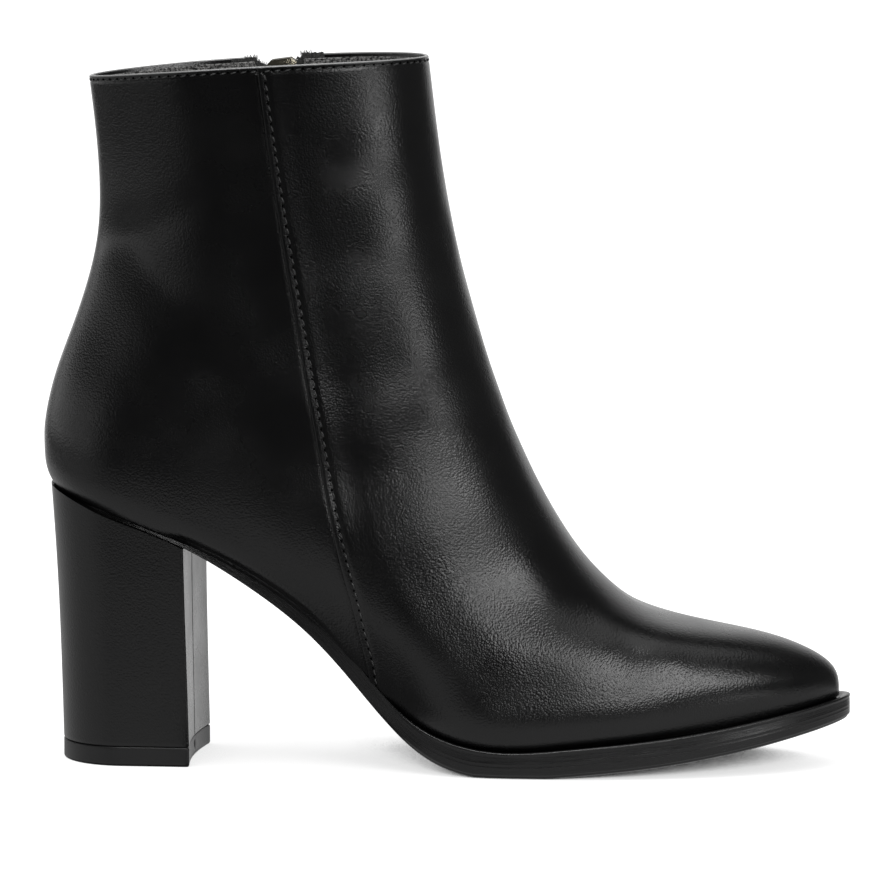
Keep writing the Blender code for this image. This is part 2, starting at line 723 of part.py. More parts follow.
def make_zip(slots, parent):
    """Tapes, chain, bottom stop, slider and pull tab on the inner side."""
    fabric, metal = slots["zip_fabric"], slots["zip_metal"]
    tape_levels = np.linspace(ZIP_BOTTOM, TAPE_TOP, ZIP_STEPS + 1)
    zip_strip("zip_tape_front", tape_levels, tape_section(-1.0), fabric, parent)
    zip_strip("zip_tape_back", tape_levels, tape_section(1.0)[::-1], fabric, parent)
    stop_level = level_above(ZIP_BOTTOM, STOP_UP)
    chain_low = level_above(ZIP_BOTTOM, STOP_UP + STOP_LENGTH / 2.0 + GAP)
    chain_high = level_below_collar(SLIDER_DOWN + SLIDER_LENGTH / 2.0 + GAP)
    half, low, top = CHAIN_HALF, CHAIN_LOW, CHAIN_TOP
    crown = [(-half, low), (half, low), (half, top + 0.5), (half - 0.8, top),
             (0.8 - half, top), (-half, top + 0.5)]
    zip_strip("zip_chain", np.linspace(chain_low, chain_high, ZIP_STEPS + 1), crown, metal, parent)
    clip = rounded_rectangle(STOP_HALF, -STOP_LENGTH / 2.0, STOP_LENGTH / 2.0, 0.7, 2)
    place = zip_matrix(stop_level, 0.0)
    add_object("zip_bottom_stop", *prism(clip, -low, STOP_TOP), metal, parent, place)
    make_slider(metal, parent)
    make_pull(metal, parent)


def main():
    clear_scene()
    slots = {name: material(name) for name in MATERIALS}
    boot = bpy.data.objects.new("boot", None)
    bpy.context.collection.objects.link(boot)
    middle_y = (SOLE_INNER - SOLE_OUTER) / 2.0
    boot.location = Vector((-SOLE_LENGTH / 2.0, -middle_y, 0.0)) * MM
    make_upper(slots["upper_leather"], boot)
    make_outsole(slots["sole_rubber"], boot)
    make_insole(slots["insole_leather"], boot)
    make_heel(slots["heel_leather"], boot)
    make_top_lift(slots["lift_rubber"], boot)
    make_zip(slots, boot)
    bpy.context.view_layer.update()


main()
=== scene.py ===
# %% [markdown]
# # A block heel ankle boot, dressed around its frame
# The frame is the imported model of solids. It gives the size and place of every part of the boot.
# This lesson builds each visible piece around it: leather panels, lining, stitches, sole, heel and
# zip. Every piece rides on a body of the frame, so it moves as the solids do.

# %% Load the frame
import math

import bmesh
import bpy
import numpy as np
from mathutils import Matrix, Vector


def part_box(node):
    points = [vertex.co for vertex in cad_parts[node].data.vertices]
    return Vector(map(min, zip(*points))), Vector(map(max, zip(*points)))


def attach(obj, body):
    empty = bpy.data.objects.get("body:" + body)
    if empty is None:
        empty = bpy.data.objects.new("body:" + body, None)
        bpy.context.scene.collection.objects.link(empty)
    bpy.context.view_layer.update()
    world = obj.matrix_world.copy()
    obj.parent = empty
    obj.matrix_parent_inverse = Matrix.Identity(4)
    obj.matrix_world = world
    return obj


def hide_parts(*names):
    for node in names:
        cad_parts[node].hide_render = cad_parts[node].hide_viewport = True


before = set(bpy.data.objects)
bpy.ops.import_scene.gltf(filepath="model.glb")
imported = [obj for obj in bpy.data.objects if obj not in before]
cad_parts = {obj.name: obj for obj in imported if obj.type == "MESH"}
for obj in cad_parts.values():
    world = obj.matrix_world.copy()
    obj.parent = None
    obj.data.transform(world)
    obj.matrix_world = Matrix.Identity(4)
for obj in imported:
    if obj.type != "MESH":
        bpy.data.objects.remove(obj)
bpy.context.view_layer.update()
MM = 0.001

# %% [markdown]
# ## Small tools for curves and node trees
# A last has no straight line in it. A few measured rows and a smooth cubic curve through each
# column give its shape with few numbers, and can be read at any place in between. Finishes and
# repeated shapes are trees of nodes, so a short helper makes a node and fills its sockets.

# %% Smooth curves through tables
def spline(knots, values):
    """A smooth cubic curve through the values, returned as a function."""
    knots = np.asarray(knots, float)
    values = np.asarray(values, float)
    count = len(knots)
    step = np.diff(knots)
    rise = np.diff(values) / step
    system = np.eye(count)
    right = np.zeros(count)
    for i in range(1, count - 1):
        system[i, i - 1:i + 2] = step[i - 1], 2.0 * (step[i - 1] + step[i]), step[i]
        right[i] = 6.0 * (rise[i] - rise[i - 1])
    bend = np.linalg.solve(system, right)

    def at(place):
        place = np.clip(place, knots[0], knots[-1])
        i = np.clip(np.searchsorted(knots, place) - 1, 0, count - 2)
        after = knots[i + 1] - place
        before = place - knots[i]
        cubic = (bend[i] * after ** 3 + bend[i + 1] * before ** 3) / (6.0 * step[i])
        low = (values[i] / step[i] - bend[i] * step[i] / 6.0) * after
        high = (values[i + 1] / step[i] - bend[i + 1] * step[i] / 6.0) * before
        return cubic + low + high

    return at


def table(columns, rows, knots=None):
    """One smooth curve per column, over the first column or over the given knots."""
    if knots is None:
        knots = [row[0] for row in rows]
    return {name: spline(knots, [row[i] for row in rows]) for i, name in enumerate(columns)}


def ease(part):
    """Smooth step from 0 to 1."""
    part = np.clip(part, 0.0, 1.0)
    return part ** 3 * (part * (6.0 * part - 15.0) + 10.0)


def hump(distance, width):
    """Soft bell: 1 at distance 0, next to nothing beyond two widths."""
    return np.exp(-(distance / width) ** 2)


# %% Node trees in one line per node
def node(tree, kind, settings=None, **inputs):
    """A node with its settings and inputs: a socket is linked, anything else is a value.

    An input goes by its name, with _ for a space, or by its number, as in _0.
    """
    made = tree.nodes.new(kind)
    for name, value in (settings or {}).items():
        setattr(made, name, value)
    for name, value in inputs.items():
        key = int(name[1:]) if name[1:].isdigit() else name.replace("_", " ")
        if isinstance(value, bpy.types.NodeSocket):
            tree.links.new(value, made.inputs[key])
        else:
            made.inputs[key].default_value = value
    return made


def calc(tree, operation, *values):
    """One sum on numbers or sockets."""
    numbered = {f"_{i}": value for i, value in enumerate(values)}
    return node(tree, "ShaderNodeMath", {"operation": operation}, **numbered).outputs["Value"]


def vector(tree, x=0.0, y=0.0, z=0.0):
    """Three numbers or sockets in one vector."""
    return node(tree, "ShaderNodeCombineXYZ", None, X=x, Y=y, Z=z).outputs["Vector"]


# %% [markdown]
# ## The last: the upper's surface from rings
# A shoemaker's last is described by its back line, its ridge line and how wide it is in between.
# Each row below is one ring round the boot, from the edge on the sole up to the collar. The rows
# are in millimetres: x from the back of the counter, y from the heel's middle line, z from the
# floor. They are the same rows that the solids were made from, so the leather fits the frame.

# %% Rings of the upper and the side line of the bottom
RING_COLUMNS = ("back_x", "back_z", "ridge_x", "ridge_z", "ridge_y",
                "heel", "waist", "ball", "back_len", "front_len", "front_power")
RINGS = (
    (3.0, 82.0, 237.0, 20.8, 5.0, 25.2, 24.4, 36.0, 30.0, 98.0, 0.62),   # edge on the sole
    (1.0, 86.0, 236.3, 27.4, 5.0, 27.0, 26.2, 38.0, 30.0, 96.0, 0.60),   # toe wall
    (0.0, 92.5, 228.0, 34.4, 4.8, 28.2, 27.6, 38.2, 31.0, 90.0, 0.57),   # counter
    (0.3, 102.0, 203.0, 41.0, 4.2, 28.8, 29.0, 36.4, 33.0, 76.0, 0.53),  # toe box
    (3.0, 114.0, 176.6, 48.2, 3.4, 28.6, 29.5, 33.8, 34.0, 66.0, 0.50),  # vamp
    (8.4, 129.0, 153.8, 72.3, 2.4, 27.8, 29.0, 30.4, 36.0, 60.0, 0.50),  # instep
    (13.4, 144.0, 140.0, 100.2, 1.6, 26.8, 28.2, 28.8, 38.0, 56.0, 0.50),  # throat
    (16.5, 160.5, 129.2, 131.8, 1.0, 25.8, 27.4, 28.0, 40.0, 52.0, 0.50),  # ankle
    (16.5, 178.0, 121.5, 163.0, 0.4, 25.0, 26.8, 27.4, 42.0, 49.0, 0.50),  # shaft
    (13.8, 203.8, 114.8, 210.2, 0.0, 24.2, 26.4, 27.0, 44.0, 46.0, 0.50),  # collar
)
COLLAR_ARCH = 1.0
HEEL_AT, WAIST_AT, BALL_AT_OUTER, BALL_AT_INNER = 0.10, 0.36, 0.61, 0.68
ROUND_POWER = 2.5
TIP_SOFT = 0.018       # takes the crease out of the toe's pointed tip
BOTTOM_COLUMNS = ("x", "edge_z", "under_z")
BOTTOM = (
    (-2.0, 83.6, 82.3), (25.0, 74.8, 73.4), (45.0, 66.8, 65.2), (65.0, 56.6, 53.0),
    (85.0, 41.7, 36.9), (100.0, 26.5, 20.5), (113.0, 15.4, 7.6), (127.0, 9.6, 0.9),
    (142.0, 7.8, -0.6), (160.0, 9.0, 0.5), (185.0, 11.6, 3.1), (212.0, 15.8, 7.6),
    (242.0, 21.5, 14.4),
)
SEAM_COLUMNS = ("level", "place")
SEAM = ((0.0, 0.418), (0.1, 0.435), (0.2, 0.458), (0.4, 0.488), (0.7, 0.507), (1.0, 0.534))
HEEL_COLUMNS = ("part", "back_x", "breast_x", "half", "round_len", "hollow")
HEEL = (
    (0.0, 5.3, 46.1, 23.4, 20.0, 1.6), (0.35, 4.6, 45.6, 23.9, 20.0, 1.4),
    (0.70, 3.5, 45.1, 24.8, 20.5, 1.2), (1.0, 2.0, 44.8, 25.8, 21.0, 1.0),
)


def ring_levels():
    """Level of each ring row: its distance along the ridge line, from 0 to 1."""
    ridge = np.array([row[2:4] for row in RINGS])
    steps = np.hypot(*np.diff(ridge, axis=0).T)
    reach = np.concatenate(([0.0], np.cumsum(steps)))
    return reach / reach[-1]


RING = table(RING_COLUMNS, RINGS, ring_levels())
BOTTOM_LINE = table(BOTTOM_COLUMNS, BOTTOM)
SEAM_LINE = table(SEAM_COLUMNS, SEAM)
HEEL_LINE = table(HEEL_COLUMNS, HEEL)
lift_low, lift_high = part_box("top_lift")
SHIFT = np.array([lift_low.x / MM - HEEL[0][1], (lift_low.y + lift_high.y) / 2.0 / MM, 0.0])
print("the tables' zero lies at", np.round(SHIFT, 2), "mm in the frame")

# %% The upper's surface as a function of ring and level
OUTER, INNER = -1.0, 1.0
SEAM_AT, RIDGE_AT, ZIP_AT, FULL_RING = 0.5, 1.0, 1.5, 2.0   # ring places, from 0 at the back
DW, DV = 0.004, 0.002   # small steps of ring place and level, for slopes


def on_outer(w):
    """Whether a ring place lies on the outer side."""
    return np.mod(w, FULL_RING) <= RIDGE_AT


def side_of(w):
    """The side that a ring place lies on."""
    return np.where(on_outer(w), OUTER, INNER)


def rounding(part, power):
    """Half width of a round end: 0 at its tip, 1 where the straight side starts."""
    end = 1.0 - (1.0 - np.clip(part, 0.0, 1.0)) ** ROUND_POWER
    grown = (end + TIP_SOFT) ** (2.0 * power) - TIP_SOFT ** (2.0 * power)
    whole = (1.0 + TIP_SOFT) ** (2.0 * power) - TIP_SOFT ** (2.0 * power)
    return np.sqrt(grown / whole)


def side_view(u, v):
    """Place in the side view, u from back to ridge and v from the sole's edge to the collar."""
    foot_x = RING["back_x"](0.0) + (RING["ridge_x"](0.0) - RING["back_x"](0.0)) * u
    foot_z = BOTTOM_LINE["edge_z"](foot_x)
    top_x = RING["back_x"](1.0) + (RING["ridge_x"](1.0) - RING["back_x"](1.0)) * u
    top_z = RING["back_z"](1.0) + (RING["ridge_z"](1.0) - RING["back_z"](1.0)) * u
    top_z = top_z + 4.0 * COLLAR_ARCH * u * (1.0 - u)
    found = []
    for axis, foot, top in (("x", foot_x, top_x), ("z", foot_z, top_z)):
        back = RING["back_" + axis]
        ridge = RING["ridge_" + axis]
        back_extra = back(v) - (1.0 - v) * back(0.0) - v * back(1.0)
        ridge_extra = ridge(v) - (1.0 - v) * ridge(0.0) - v * ridge(1.0)
        flat = (1.0 - v) * foot + v * top
        found.append(flat + (1.0 - u) ** 2 * back_extra + u ** 2 * ridge_extra)
    return found


def half_width(side, u, v):
    """Half width of a ring at u, measured from the foot's curved middle line."""
    ball_at = np.where(side < 0.0, BALL_AT_OUTER, BALL_AT_INNER)
    to_waist = ease((u - HEEL_AT) / (WAIST_AT - HEEL_AT))
    to_ball = ease((u - WAIST_AT) / (ball_at - WAIST_AT))
    heel, waist, ball = RING["heel"](v), RING["waist"](v), RING["ball"](v)
    wide = heel + (waist - heel) * to_waist + (ball - waist) * to_ball
    length = RING["ridge_x"](v) - RING["back_x"](v)
    back = rounding(u * length / RING["back_len"](v), 0.5)
    front = rounding((1.0 - u) * length / RING["front_len"](v), RING["front_power"](v))
    return wide * back * front


def crowd(part):
    """Spread from 0 to 1 that starts in small steps, for the round ends."""
    return part * part * (2.0 - part)


def ring_place(w, v):
    """Side and u for w: 0 back, 0.5 outer seam, 1 ridge, 1.5 zip, 2 back again."""
    w = np.mod(w, FULL_RING)
    near = np.where(on_outer(w), w, FULL_RING - w)
    seam = SEAM_LINE["place"](v)
    rear = seam * crowd(2.0 * near)
    front = 1.0 - (1.0 - seam) * crowd(2.0 - 2.0 * near)
    return side_of(w), np.where(near <= SEAM_AT, rear, front)


def skin(w, v):
    """Point on the upper's outer surface, in millimetres."""
    side, u = ring_place(w, v)
    x, z = side_view(u, v)
    middle = RING["ridge_y"](v) * u ** 1.5
    return np.stack([x, middle + side * half_width(side, u, v), z], axis=-1)


def skin_frame(w, v):
    """Point on the upper, the directions across, up and out there, and the spread of w across."""
    w, v = np.broadcast_arrays(np.asarray(w, float), np.asarray(v, float))
    low, high = np.maximum(v - DV, 0.0), np.minimum(v + DV, 1.0)
    around = (skin(w + DW, v) - skin(w - DW, v)) / (2.0 * DW)
    up = skin(w, high) - skin(w, low)
    up = up / np.linalg.norm(up, axis=-1, keepdims=True)
    out = np.cross(around, up)
    spread = np.linalg.norm(out, axis=-1)
    out = out / spread[..., None]
    return skin(w, v), np.cross(up, out), up, out, spread


upper_low, upper_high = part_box("upper")
probe = (skin(*np.meshgrid(np.linspace(0, 2, 200), np.linspace(0, 1, 80))) + SHIFT).reshape(-1, 3)
print("surface against the upper's solid, mm:",
      np.round(probe.min(0) - np.array(upper_low) / MM, 2),
      np.round(probe.max(0) - np.array(upper_high) / MM, 2))

# %% [markdown]
# ## The view
# The photo looks at the outer side from a little in front of the boot's middle and a little above
# it, through a long lens. The camera comes early, so that every later step can be looked at.

# %% Camera
VIEW_AZIMUTH, VIEW_ELEVATION = 6.0, 6.7
VIEW_DISTANCE, VIEW_END = 2.2, 100.0
VIEW_AT = (np.array([120.71, 0.0, 93.48]) + SHIFT) * MM
LENS_MM, SENSOR_MM = 297.7, 36.0


def add_object(name, data):
    """A new object that shows the data, linked to the scene."""
    made = bpy.data.objects.new(name, data)
    bpy.context.scene.collection.objects.link(made)
    return made


def away_at(azimuth, elevation):
    """Direction away from the boot, in degrees. Azimuth 0 is its outer side and 90 its toe."""
    a, e = math.radians(azimuth), math.radians(elevation)
    return Vector((math.sin(a) * math.cos(e), -math.cos(a) * math.cos(e), math.sin(e)))


def facing(away):
    """Turn of a camera or light that looks back along a direction."""
    return (-away).to_track_quat("-Z", "Y")


camera_data = bpy.data.cameras.new("photo_camera")
camera_data.lens = LENS_MM
camera_data.sensor_width = SENSOR_MM
camera_data.clip_end = VIEW_END
camera = add_object("photo_camera", camera_data)
toward = away_at(VIEW_AZIMUTH, VIEW_ELEVATION)
camera.location = Vector(VIEW_AT) + toward * VIEW_DISTANCE
camera.rotation_mode = "QUATERNION"
camera.rotation_quaternion = facing(toward)
bpy.context.scene.camera = camera
print("camera at", [round(k, 3) for k in camera.location])

# %% [markdown]
# ## Making a piece
# Points are worked out in the tables' millimetres and moved into the frame once, here. A closed
# shell has a volume, and its sign tells whether the faces point outwards.

# %% Pieces from points and faces
def signed_volume(points, faces):
    """Six times the volume that the faces enclose: negative if they point inwards."""
    total = 0.0
    for k in range(1, len(faces[0]) - 1):
        a, b, c = points[faces[:, 0]], points[faces[:, k]], points[faces[:, k + 1]]
        total += float(np.einsum("ij,ij->i", a, np.cross(b, c)).sum())
    return total


def keep(mesh, label, values):
    """Stores a number or a vector with each point, for a finish or a node tree to read."""
    kind, field = ("FLOAT", "value") if values.ndim == 1 else ("FLOAT_VECTOR", "vector")
    mesh.attributes.new(label, kind, "POINT").data.foreach_set(field, values.ravel())


def add_piece(name, points, faces, material, **stored):
    """A smooth closed piece. Faces are arrays of corner numbers, one array per corner count.

    Each stored value is kept with the points under its name.
    """
    points = np.asarray(points, float)
    groups = [np.asarray(f, int) for f in faces if len(f)]
    if sum(signed_volume(points - points.mean(0), g) for g in groups) < 0.0:
        groups = [g[:, ::-1] for g in groups]
    mesh = bpy.data.meshes.new(name)
    mesh.from_pydata(((points + SHIFT) * MM).tolist(), [], [f for g in groups for f in g.tolist()])
    mesh.polygons.foreach_set("use_smooth", np.ones(len(mesh.polygons), bool))
    mesh.materials.append(material)
    for label, values in stored.items():
        keep(mesh, label, values)
    mesh.update()
    print(f"{name}: {len(points)} points, {sum(len(f) - 2 for g in groups for f in g)} triangles")
    return add_object(name, mesh)


def settle(piece, body, slot, *nodes):
    """The piece rides on a body and stands for nodes of the frame. slot is not used."""
    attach(piece, body)
    if nodes:
        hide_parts(*nodes)
    return piece


def stack_faces(rows, count):
    """Side faces of a stack of closed loops with the same number of points."""
    low = (np.arange(rows - 1)[:, None] * count + np.arange(count)[None, :]).ravel()
    after = (np.arange(rows - 1)[:, None] * count + (np.arange(count)[None, :] + 1) % count).ravel()
    return np.stack([low, after, after + count, low + count], axis=1)


# %% [markdown]
# ## Leather
# The upper is smooth full grain leather: black, satin, with a fine pebble that breaks a highlight
# into tiny sparks. Small cells of a Voronoi pattern give the pebbles and a stretched noise gives
# the fine wrinkles between them. Both are relief, because grain that is only painted on would not
# catch the light. Colour and gloss drift a little from place to place, and a trace of wax lies on
# top. The folded edge at the collar is painted pale: a painted highlight for the light that its
# round catches.

# %% Patterns for every finish
NOISE_LOW, NOISE_HIGH = 0.3, 0.7   # most of a noise pattern lies between these


def pattern(tree, kind, coords, scale, settings=None, **inputs):
    """A texture of so many cells per metre on the piece's own coordinates."""
    return node(tree, kind, settings, Vector=coords, Scale=scale, **inputs)


def noise(tree, coords, scale, detail, **inputs):
    """A cloudy pattern from 0 to 1."""
    made = pattern(tree, "ShaderNodeTexNoise", coords, scale, None, Detail=detail, **inputs)
    return made.outputs["Fac"]


def bump(tree, height, depth, normal=None):
    """Relief of a depth in metres for a height from 0 to 1, over other relief if there is any."""
    under = {"Normal": normal} if normal else {}
    return node(tree, "ShaderNodeBump", None, Height=height, Distance=depth, Strength=1.0,
                **under).outputs["Normal"]


def mix_colour(tree, part, low, high):
    """Colour between two, by a part from 0 to 1."""
    ramp = node(tree, "ShaderNodeValToRGB", None, Fac=part)
    ramp.color_ramp.elements[0].color = (*low, 1.0)
    ramp.color_ramp.elements[1].color = (*high, 1.0)
    return ramp.outputs["Color"]


def remap(tree, value, low, high, to_low, to_high):
    """A value moved from one range into another."""
    return node(tree, "ShaderNodeMapRange", None, Value=value, From_Min=low, From_Max=high,
                To_Min=to_low, To_Max=to_high).outputs["Result"]


def uneven(tree, value, rough, less, more):
    """Roughness that drifts with a noise pattern, so much below and above a middle value."""
    return remap(tree, value, NOISE_LOW, NOISE_HIGH, rough - less, rough + more)


def start_material(name, roughness, specular, colour=None):
    """An empty finish: its tree, its shader and the piece's own coordinates."""
    made = bpy.data.materials.new(name)
    made.use_nodes = True
    tree = made.node_tree
    shader = tree.nodes["Principled BSDF"]
    shader.inputs["Roughness"].default_value = roughness
    shader.inputs["Specular IOR Level"].default_value = specular
    if colour:
        shader.inputs["Base Color"].default_value = (*colour, 1.0)
    coords = tree.nodes.new("ShaderNodeTexCoord").outputs["Object"]
    return made, tree, shader, coords


def dress(tree, shader, **patterns):
    """Links patterns to the shader's sockets, with _ for a space in a socket's name."""
    for name, socket in patterns.items():
        tree.links.new(socket, shader.inputs[name.replace("_", " ")])


# %% Leather finish
LEATHER_SHINE, WAX_ROUGH = 0.45, 0.28
BLOTCHES = 45.0        # patches of colour and gloss per metre
GLOSS_DRIFT = 0.05
WRINKLE_SCALE, WRINKLE_RELIEF = 0.6, 0.2   # against the pebbles
WRINKLE_TURN, WRINKLE_STRETCH = (0.0, 0.5, 0.0), (0.5, 1.0, 1.0)


def leather(name, dark, light, rough, pebble, depth, coat, edge=None):
    """Smooth leather with pebbles of a size in mm and a relief depth in mm.

    edge is a pale colour painted on a folded edge, where the piece stores one: a painted highlight.
    """
    made, tree, shader, coords = start_material(name, rough, LEATHER_SHINE)
    cells = pattern(tree, "ShaderNodeTexVoronoi", coords, 1.0 / (pebble * MM),
                    {"feature": "SMOOTH_F1"}, Smoothness=0.5, Randomness=1.0)
    broad = noise(tree, coords, BLOTCHES, 4.0)
    tilt = node(tree, "ShaderNodeMapping", None, Vector=coords, Rotation=WRINKLE_TURN,
                Scale=WRINKLE_STRETCH)
    wrinkle = noise(tree, tilt.outputs["Vector"], WRINKLE_SCALE / (pebble * MM), 2.0, Distortion=0.6)
    relief = bump(tree, wrinkle, depth * MM * WRINKLE_RELIEF)
    relief = bump(tree, cells.outputs["Distance"], -depth * MM, relief)
    colour = mix_colour(tree, broad, dark, light)
    if edge:
        # The stored edge gets a paler colour: a painted highlight on the folded rim.
        painted_rim_highlight = node(tree, "ShaderNodeAttribute", {"attribute_name": "edge"}).outputs["Fac"]
        both = node(tree, "ShaderNodeMix", {"data_type": "RGBA"}, _0=painted_rim_highlight, _6=colour, _7=(*edge, 1.0))
        colour = both.outputs[2]
    dress(tree, shader, Normal=relief, Base_Color=colour,
          Roughness=uneven(tree, broad, rough, GLOSS_DRIFT, GLOSS_DRIFT))
    shader.inputs["Coat Weight"].default_value = coat
    shader.inputs["Coat Roughness"].default_value = WAX_ROUGH
    return made


# The last colour is painted on the collar's folded edge: a painted highlight.
upper_leather = leather("upper_leather", (0.0012, 0.0012, 0.0013), (0.0024, 0.0024, 0.0025),
                        0.275, 0.58, 0.062, 0.05, (0.34, 0.34, 0.34))
heel_leather = leather("heel_leather", (0.0017, 0.0017, 0.0018), (0.0032, 0.0032, 0.0033),
                       0.28, 0.58, 0.050, 0.03)
print("leathers:", upper_leather.name, heel_leather.name)

# %% [markdown]
# ## Soft folds
# Leather that has been lasted and handled is never quite even: it dips behind the ankle, across
# the throat and where the toes bend. Each row below is one soft trough in the side view, in
# millimetres, or a ridge where its height is positive. They bend the highlights as on the real
# boot without touching the outline.

# %% Folds of the upper
FOLD_COLUMNS = ("from_x", "from_z", "to_x", "to_z", "width", "height")
FOLDS_OUTER = (
    (27.0, 156.0, 57.0, 120.0, 9.0, -1.15),    # behind the ankle, falling to the seam
    (44.0, 134.0, 80.0, 110.0, 9.0, 0.45),
    (16.0, 152.0, 48.0, 167.0, 6.0, -0.35),
    (30.0, 116.0, 66.0, 100.0, 10.0, -0.30),
    (92.0, 180.0, 120.0, 185.0, 6.0, -0.35),   # shaft, across the front
    (90.0, 152.0, 124.0, 158.0, 8.0, -0.45),
    (96.0, 169.0, 112.0, 171.0, 5.0, 0.20),
    (94.0, 116.0, 131.0, 125.0, 9.0, -0.40),   # throat
    (112.0, 101.0, 145.0, 109.0, 7.0, -0.30),
    (104.0, 70.0, 132.0, 78.0, 13.0, 0.70),
    (92.0, 87.0, 109.0, 90.0, 8.0, -0.40),
    (176.0, 43.0, 177.0, 38.0, 4.0, -0.22),    # toes
    (185.0, 38.0, 188.0, 35.0, 4.0, 0.28),
    (140.0, 56.0, 152.0, 30.0, 9.0, -0.25),
)
FOLDS_INNER = (
    (28.0, 146.0, 60.0, 126.0, 8.0, -0.60),
    (18.0, 158.0, 44.0, 163.0, 6.0, -0.30),
    (94.0, 176.0, 121.0, 182.0, 7.0, -0.35),
    (92.0, 146.0, 126.0, 150.0, 8.0, -0.45),
    (98.0, 112.0, 134.0, 121.0, 9.0, -0.55),
    (114.0, 96.0, 146.0, 106.0, 7.0, -0.40),
    (172.0, 46.0, 180.0, 26.0, 6.0, -0.35),
    (150.0, 56.0, 160.0, 30.0, 9.0, -0.30),
)
FOLD_CLEAR = 9.0       # folds fade out this near to the back and ridge lines


def fold_height(point, side):
    """How far the folds lift the leather at points on one side or the other."""
    lifted = np.zeros(point.shape[:-1])
    for sign, folds in ((OUTER, FOLDS_OUTER), (INNER, FOLDS_INNER)):
        here = np.zeros_like(lifted)
        for row in folds:
            fold = dict(zip(FOLD_COLUMNS, row))
            run = np.array([fold["to_x"] - fold["from_x"], fold["to_z"] - fold["from_z"]])
            off = point[..., ::2] - np.array([fold["from_x"], fold["from_z"]])
            part = np.clip(off @ run / (run @ run), 0.0, 1.0)
            gap = np.linalg.norm(off - part[..., None] * run, axis=-1)
            here += fold["height"] * hump(gap, fold["width"])
        lifted = np.where(side == sign, here, lifted)
    away = ease(np.abs(point[..., 1]) / FOLD_CLEAR)
    return lifted * away


print("folds:", len(FOLDS_OUTER), "outside and", len(FOLDS_INNER), "inside")

# %% [markdown]
# ## Two leather panels
# The upper is cut from two pieces. The front panel's edge is folded over and sewn onto the rear
# quarter, which makes the raised line on the outer side. On the inner side both edges stop at the
# zip. Each panel is a closed shell of real thickness: its outer face, a rounded edge, its inner
# face and a rounded edge again make one loop, and the loops are stacked from sole to collar. The
# outer face is the last's surface plus small heights: the lap, the pull of the stitches, the swell
# where leather was pulled under the forepart, and the roll inwards at the waist.

# %% Sizes of the panels
LEATHER = 1.1          # thickness of the leather
ROLLED_EDGE = 1.1      # thickness of its folded edge at the collar
LAP = 0.7              # the front panel's edge over the rear quarter
LAP_FADE = 9.0
UNDERLAP = 3.5         # the rear quarter goes on under the front panel,
UNDER_GAP = 0.03       # with this much air between them
SEWN_AT = 1.75         # stitches in front of the seam's edge
COLLAR_SEWN_AT = 1.5   # stitches below the collar
COLLAR_BAND = 0.03     # levels below the collar over which its length is measured
ZIP_BOTTOM = 0.20      # level of the zip slot's lower end
SLOT_HALF, SLOT_FLARE, FLARE_FROM = 4.4, 3.2, 0.86
SLOT_TIP = 0.45        # half of the slot's width at its very end
SLOT_ROUND = 0.014     # levels over which the slot closes at its lower end
SLOT_LEAST = 0.0025    # and over which its rear edge still closes
SLOT_SKEW = 0.0186     # rings cross the zip at a slant, so its front edge closes from higher up
ZIP_SEWN_AT = 2.1      # stitches beside the slot
ROUND_ENDS = np.radians([30.0, 60.0, 90.0, 120.0, 150.0])
RIM_TURNS = np.radians([0.0, 20.0, 40.0, 60.0, 80.0])
RIM_HIGHLIGHT_TURN = math.radians(60.0)   # from this turn up the edge is painted pale: a painted highlight
PANEL_LEVELS = np.unique(np.concatenate((
    np.linspace(0.0, 0.984, 140), [0.0025, 0.005, 0.0105],
    np.linspace(ZIP_BOTTOM - SLOT_ROUND, ZIP_BOTTOM + SLOT_SKEW, 20),
    np.linspace(0.962, 0.9955, 18))))


def slot_half(v, side=0.0):
    """Half of the zip slot's width: round at its lower end, wider at the collar."""
    open_part = SLOT_HALF + SLOT_FLARE * ease((v - FLARE_FROM) / (1.0 - FLARE_FROM))
    end = ZIP_BOTTOM - SLOT_ROUND
    corner = max(ZIP_BOTTOM - side * SLOT_SKEW, end + SLOT_LEAST)
    down = np.clip((corner - v) / (corner - end), 0.0, 1.0)
    return SLOT_TIP + (open_part - SLOT_TIP) * np.sqrt(1.0 - down ** 2)


def seam_spread(v):
    """Millimetres per ring step across the seam."""
    return skin_frame(SEAM_AT, v)[4]


def zip_spread(v):
    """Millimetres per ring step across the zip."""
    return skin_frame(ZIP_AT, v)[4]


def collar_length(w):
    """Length of leather over the band of levels just below the collar."""
    top = np.ones_like(w)
    return np.linalg.norm(skin(w, top) - skin(w, top - COLLAR_BAND), axis=-1)


def below_collar(w, v):
    """Distance along the leather from a place up to the collar."""
    return (1.0 - v) * collar_length(w) / COLLAR_BAND


print("a panel has", len(PANEL_LEVELS), "rows, and", len(RIM_TURNS), "more round its rim")

# %% Heights of the outer face
WALL_COLUMNS = ("level", "out")
WALL = ((0.0, -0.2), (0.004, 0.35), (0.010, 0.75), (0.018, 0.8), (0.03, 0.65), (0.05, 0.3),
        (0.075, 0.05), (0.11, -0.05), (0.16, 0.0), (0.20, 0.0), (1.0, 0.0))
WALL_LINE = table(WALL_COLUMNS, WALL)
WALL_FROM, WALL_TO = 100.0, 135.0
WALL_ENDS, WALL_GONE = 172.0, 206.0


def lasted_wall(w, v):
    """Over the forepart the leather swells just above the sole, where it was pulled under."""
    x = skin(w, v)[..., 0]
    here = ease((x - WALL_FROM) / (WALL_TO - WALL_FROM))
    return WALL_LINE["out"](v) * here * (1.0 - ease((x - WALL_ENDS) / (WALL_GONE - WALL_ENDS)))


ROLL_DEPTH, ROLL_LEVEL = 1.6, 0.045
ROLL_FROM, ROLL_FULL, ROLL_FADE, ROLL_GONE = 36.0, 48.0, 80.0, 98.0


